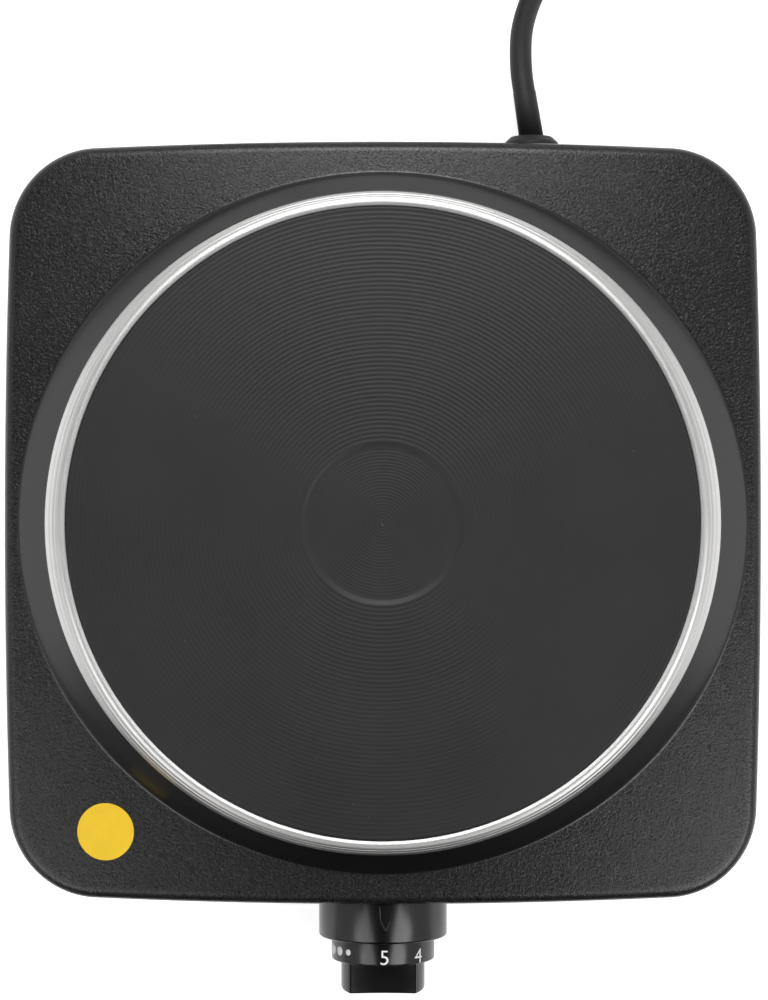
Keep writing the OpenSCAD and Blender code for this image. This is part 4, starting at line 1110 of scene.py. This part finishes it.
def digitShape(setup, text, angle):
    # a flat text made a mesh, cut into narrow strips and bent round the skirt
    curve = bpy.data.curves.new("digits", "FONT")
    curve.body, curve.align_x, curve.align_y = text, "CENTER", "CENTER"
    curve.size, curve.resolution_u = 1.0, 6
    curve.offset = setup["thicken"]
    holder = bpy.data.objects.new("digits", curve)
    scene.collection.objects.link(holder)
    bpy.context.view_layer.update()
    mesh = bpy.data.meshes.new_from_object(holder.evaluated_get(bpy.context.evaluated_depsgraph_get()))
    bpy.data.objects.remove(holder)
    work = bmesh.new()
    work.from_mesh(mesh)
    for cut in np.arange(-1.5, 1.51, setup["cutGap"]):
        everything = work.verts[:] + work.edges[:] + work.faces[:]
        bmesh.ops.bisect_plane(work, geom=everything, plane_co=(cut, 0, 0), plane_no=(1, 0, 0))
    bmesh.ops.triangulate(work, faces=work.faces)
    work.to_mesh(mesh)
    work.free()
    co = np.zeros(len(mesh.vertices) * 3)
    mesh.vertices.foreach_get("co", co)
    co = co.reshape(-1, 3)
    corners = np.zeros(len(mesh.polygons) * 3, int)
    mesh.polygons.foreach_get("vertices", corners)
    corners = corners.reshape(-1, 3)
    share = setup["wordShare"] if len(text) > 1 else 1.0
    size = setup["digitHeight"] * share / (co[:, 1].max() - co[:, 1].min())
    flat = (co - (co.max(0) + co.min(0)) / 2) * size
    flat[:, 0] += math.radians(angle) * knobSetup["skirt"]
    flat[:, 1] = setup["digitMiddle"] - flat[:, 1]
    flat[:, 2] = setup["raise"]
    return bentOn(flat, knobSetup["skirt"]), corners


def dotShape(setup, angle, radius):
    # a disc of rings of points, bent round the skirt
    a = np.linspace(0, 2 * math.pi, 28, endpoint=False)
    rings = np.array([0.0, 0.35, 0.7, 1.0, 1.02]) * radius
    lift = np.array([setup["raise"]] * 4 + [-setup["sink"]])
    across = rings[:, None] * np.cos(a) + math.radians(angle) * knobSetup["skirt"]
    along = setup["dotMiddle"] + rings[:, None] * np.sin(a)
    flat = np.stack([across, along, np.broadcast_to(lift[:, None], across.shape)], axis=-1).reshape(-1, 3)
    return bentOn(flat, knobSetup["skirt"]), gridFaces(len(rings), len(a), wrapColumns=True)


def makeMarks(setup):
    # the scale's digits and dots, which turn with the knob
    digits = combine([digitShape(setup, text, angle) for text, angle in setup["digits"].items()])
    makePiece("knob_digits", digits, "knob_plastic", body="heat_knob", finish=markPaint)
    dots = combine([dotShape(setup, angle, radius) for angle, radius in setup["dots"].items()])
    makePiece("knob_dots", dots, "knob_plastic", body="heat_knob", finish=markPaint)


makeMarks(markSetup)

pointerSetup = {
    "left": (-1.0, 0.6), "leftMid": (-0.7, 5.0), "tip": (0.9, 8.3), "rightMid": (2.2, 5.2), "rib": 0.2,
}


def makePointer(setup):
    # a fine raised V on top of the collar, which points at the skirt's scale
    parts = []
    for names in (("left", "leftMid", "tip"), ("rightMid", "tip")):
        points = np.array([setup[name] for name in names])
        steps = np.linspace(0, 1, 9)[:-1, None]
        line = np.vstack([a + (b - a) * steps for a, b in zip(points, points[1:])] + [points[-1:]])
        path = bentOn(np.column_stack([line, np.zeros(len(line))]), collarSetup["radius"])
        parts.append(sweep(path, setup["rib"], 8))
    return makePiece("collar_pointer", combine(parts), "knob_plastic")


makePointer(pointerSetup)
print("stage: knob")

# feet and pilot lamp

footSetup = {
    "place": 80.0, "radius": 9.0, "foot": 8.0, "height": 8.0, "bore": 2.0, "recess": 4.2, "recessTop": 4.0,
}


def makeFeet(setup):
    # turned rubber feet with a rounded tread, two ribs and a recess for the screw
    profile = filleted([
        (setup["recess"], 0.0, 0), (setup["recess"] + 1.2, 0, 0.4), (setup["recess"] + 1.5, 0.5, 0.2),
        (setup["recess"] + 2.0, 0.5, 0.2), (setup["recess"] + 2.3, 0, 0.2), (setup["foot"], 0, 0.9),
        (setup["radius"] - 0.35, 5.2, 0.4), (setup["radius"], 6.0, 0.4),
        (setup["radius"], setup["height"], 0.25), (setup["bore"], setup["height"], 0),
        (setup["bore"], setup["recessTop"], 0), (setup["recess"], setup["recessTop"], 0.2),
        (setup["recess"], 0.0, 0),
    ])
    parts = [
        revolve(profile, 64, (plateAxis[0] + sx * setup["place"], plateAxis[1] + sy * setup["place"], 0))
        for sx in (-1, 1) for sy in (-1, 1)
    ]
    return makePiece("rubber_feet", combine(parts), "foot_rubber", replaced=("feet",))


makeFeet(footSetup)

lensLow, lensHigh = boxOf("pilot_lamp_lens")
lensSetup = {"body": 4.8, "rim": 6.0, "proud": 0.8, "sheet": 1.2}


def makeLens(setup):
    # a turned lens with a domed middle and a flat rim
    centre = ((lensLow[0] + lensHigh[0]) / 2, lensLow[1] + setup["proud"], (lensLow[2] + lensHigh[2]) / 2)
    profile = filleted([
        (0, -setup["sheet"], 0), (setup["body"], -setup["sheet"], 0), (setup["body"], 0.1, 0),
        (setup["rim"], 0.1, 0.05), (setup["rim"], 0.45, 0.2), (setup["body"] - 0.2, 0.5, 0.1),
        (setup["body"] - 0.8, setup["proud"] - 0.1, 0.3), (0, setup["proud"], 0),
    ])
    shape = revolve(profile, 96, centre, outwards)
    return makePiece("pilot_lens", shape, "lamp_red", replaced=("pilot_lamp_lens",))


makeLens(lensSetup)
print("stage: feet and lamp")

# studio

studioSetup = {
    "tentRadius": 3.0, "tentHeight": 3.4, "paleness": 0.82, "floorZ": -0.0002,
    "floorGlow": 0.74, "glowFrom": 0.2, "glowTo": 0.7, "mirrorGlow": 0.66,
    "worldTone": 0.05,
    "flag": {
        "tone": 0.01, "near": -0.2, "y": -0.38, "half": 1.25, "topHalf": 0.22,
        "height": 0.75, "low": 0.0004,
    },
    "lamps": [
        {
            "name": "rear", "at": (0.0, 0.68, 1.25), "aim": (0, 0.05, 0),
            "size": (0.6, 0.8), "radiance": 7.0,
        },
        {
            "name": "left", "at": (-0.72, -0.55, 1.1), "aim": (0, 0, 0.05),
            "size": (0.7, 0.7), "radiance": 2.9,
        },
        {
            "name": "right", "at": (0.72, -0.52, 1.1), "aim": (0, 0, 0.05),
            "size": (0.7, 0.7), "radiance": 4.5,
        },
    ],
}


def bareMaterial(name):
    # a material whose node tree is empty
    material = bpy.data.materials.new(name)
    material.use_nodes = True
    material.node_tree.nodes.clear()
    return material, material.node_tree


def addStage(name, points, faces, material):
    # a surface in metres that belongs to the studio and not to the stove
    mesh = bpy.data.meshes.new(name)
    mesh.from_pydata(points, [], faces)
    mesh.materials.append(material)
    piece = bpy.data.objects.new(name, mesh)
    scene.collection.objects.link(piece)


def makeBackdropFinish(setup, name, near, far):
    # pale paper with a white glow for camera, glossy and transmission rays, so that lit paper is white and
    # a shadow still shows; the glow grows with the distance, and from behind the paper is clear
    material, tree = bareMaterial(name)
    paper = addNode(tree, "BsdfDiffuse", None, Color=(setup["paleness"],) * 3 + (1,))
    white = addNode(tree, "Emission", None, Color=(1, 1, 1, 1), Strength=1.0)
    ray = addNode(tree, "LightPath").outputs
    mirrored = maths(tree, "MAXIMUM", ray["Is Glossy Ray"], ray["Is Transmission Ray"])
    place = addNode(tree, "TexCoord").outputs["Object"]
    distance = addNode(tree, "VectorMath", {"operation": "LENGTH"}, i0=place).outputs["Value"]
    outward = rescale(tree, distance, setup["glowFrom"], setup["glowTo"], near, far)
    direct = maths(tree, "MULTIPLY", ray["Is Camera Ray"], outward)
    glow = maths(tree, "MULTIPLY_ADD", mirrored, setup["mirrorGlow"], direct)
    tree.links.new(glow, white.inputs["Strength"])
    both = addNode(tree, "AddShader", None, i0=paper.outputs[0], i1=white.outputs[0])
    clear = addNode(tree, "BsdfTransparent")
    behind = addNode(tree, "NewGeometry").outputs["Backfacing"]
    mixed = addNode(tree, "MixShader", None, i0=behind, i1=both.outputs[0], i2=clear.outputs[0])
    addNode(tree, "OutputMaterial", None, Surface=mixed.outputs[0])
    return material


def makeFlag(setup):
    # a dark panel in front of the stove that only reflections see: it gives the shiny parts a dark side,
    # full in the middle and fading to nothing at the panel's two ends, sooner high up than near the floor
    material, tree = bareMaterial("flagCloth")
    cloth = addNode(tree, "BsdfDiffuse", None, Color=(setup["tone"],) * 3 + (1,))
    clear = addNode(tree, "BsdfTransparent")
    ray = addNode(tree, "LightPath").outputs["Is Glossy Ray"]
    place = addNode(tree, "SeparateXYZ", None, Vector=addNode(tree, "TexCoord").outputs["Object"]).outputs
    reach = rescale(tree, place["Z"], 0.0, setup["height"] / 2, setup["half"], setup["topHalf"])
    fade = rescale(tree, maths(tree, "ABSOLUTE", place["X"]), 0.0, reach, 1.0, 0.0, "SMOOTHSTEP")
    share = maths(tree, "MULTIPLY", ray, fade)
    mixed = addNode(tree, "MixShader", None, i0=share, i1=clear.outputs[0], i2=cloth.outputs[0])
    addNode(tree, "OutputMaterial", None, Surface=mixed.outputs[0])
    half, low = setup["half"], setup["low"]
    line = [(setup["near"], low), (setup["y"], low), (setup["y"], setup["height"])]
    points = [(x, y, z) for y, z in line for x in (-half, half)]
    addStage("studioFlag", points, [(0, 1, 3, 2), (2, 3, 5, 4)], material)


def makeStudio(setup):
    # a round floor and an upright round wall, both pale, the dark panel, three lamps and the air around
    a = np.linspace(0, 2 * math.pi, 96, endpoint=False)
    ring = np.stack([np.cos(a), np.sin(a)], axis=1)
    low = setup["floorZ"]
    for name, rows, near in (
        ("studioFloor", [(0.0, low), (0.5, low), (setup["tentRadius"], low)], setup["floorGlow"]),
        ("studioWall", [(setup["tentRadius"], low), (setup["tentRadius"], setup["tentHeight"])], 1.0),
    ):
        points = np.array([np.column_stack([r * ring, np.full(len(a), z)]) for r, z in rows])
        flat, faces = sheetOf(points, wrapColumns=True)
        paper = makeBackdropFinish(setup, name, near, 1.0)
        addStage(name, flat.tolist(), faces[:, ::-1].tolist(), paper)
    makeFlag(setup["flag"])
    for lamp in setup["lamps"]:
        data = bpy.data.lights.new(lamp["name"], "AREA")
        data.shape = "RECTANGLE"
        data.size, data.size_y = lamp["size"]
        # an area lamp of this power looks as bright as a surface of that radiance
        data.energy = lamp["radiance"] * math.pi * lamp["size"][0] * lamp["size"][1]
        light = bpy.data.objects.new(lamp["name"], data)
        light.location = lamp["at"]
        towards = Vector(lamp["aim"]) - Vector(lamp["at"])
        light.rotation_euler = towards.to_track_quat("-Z", "Y").to_euler()
        light.visible_camera = False
        scene.collection.objects.link(light)
    world = bpy.data.worlds.new("studioAir")
    world.use_nodes = True
    # the camera sees white air, everything else a dim one
    tree = world.node_tree
    air = tree.nodes["Background"]
    ray = addNode(tree, "LightPath").outputs["Is Camera Ray"]
    tree.links.new(rescale(tree, ray, 0.0, 1.0, setup["worldTone"], 1.0), air.inputs["Strength"])
    air.inputs["Color"].default_value = (1, 1, 1, 1)
    scene.world = world


makeStudio(studioSetup)
scene.view_settings.view_transform = "Standard"
print("stage: studio")
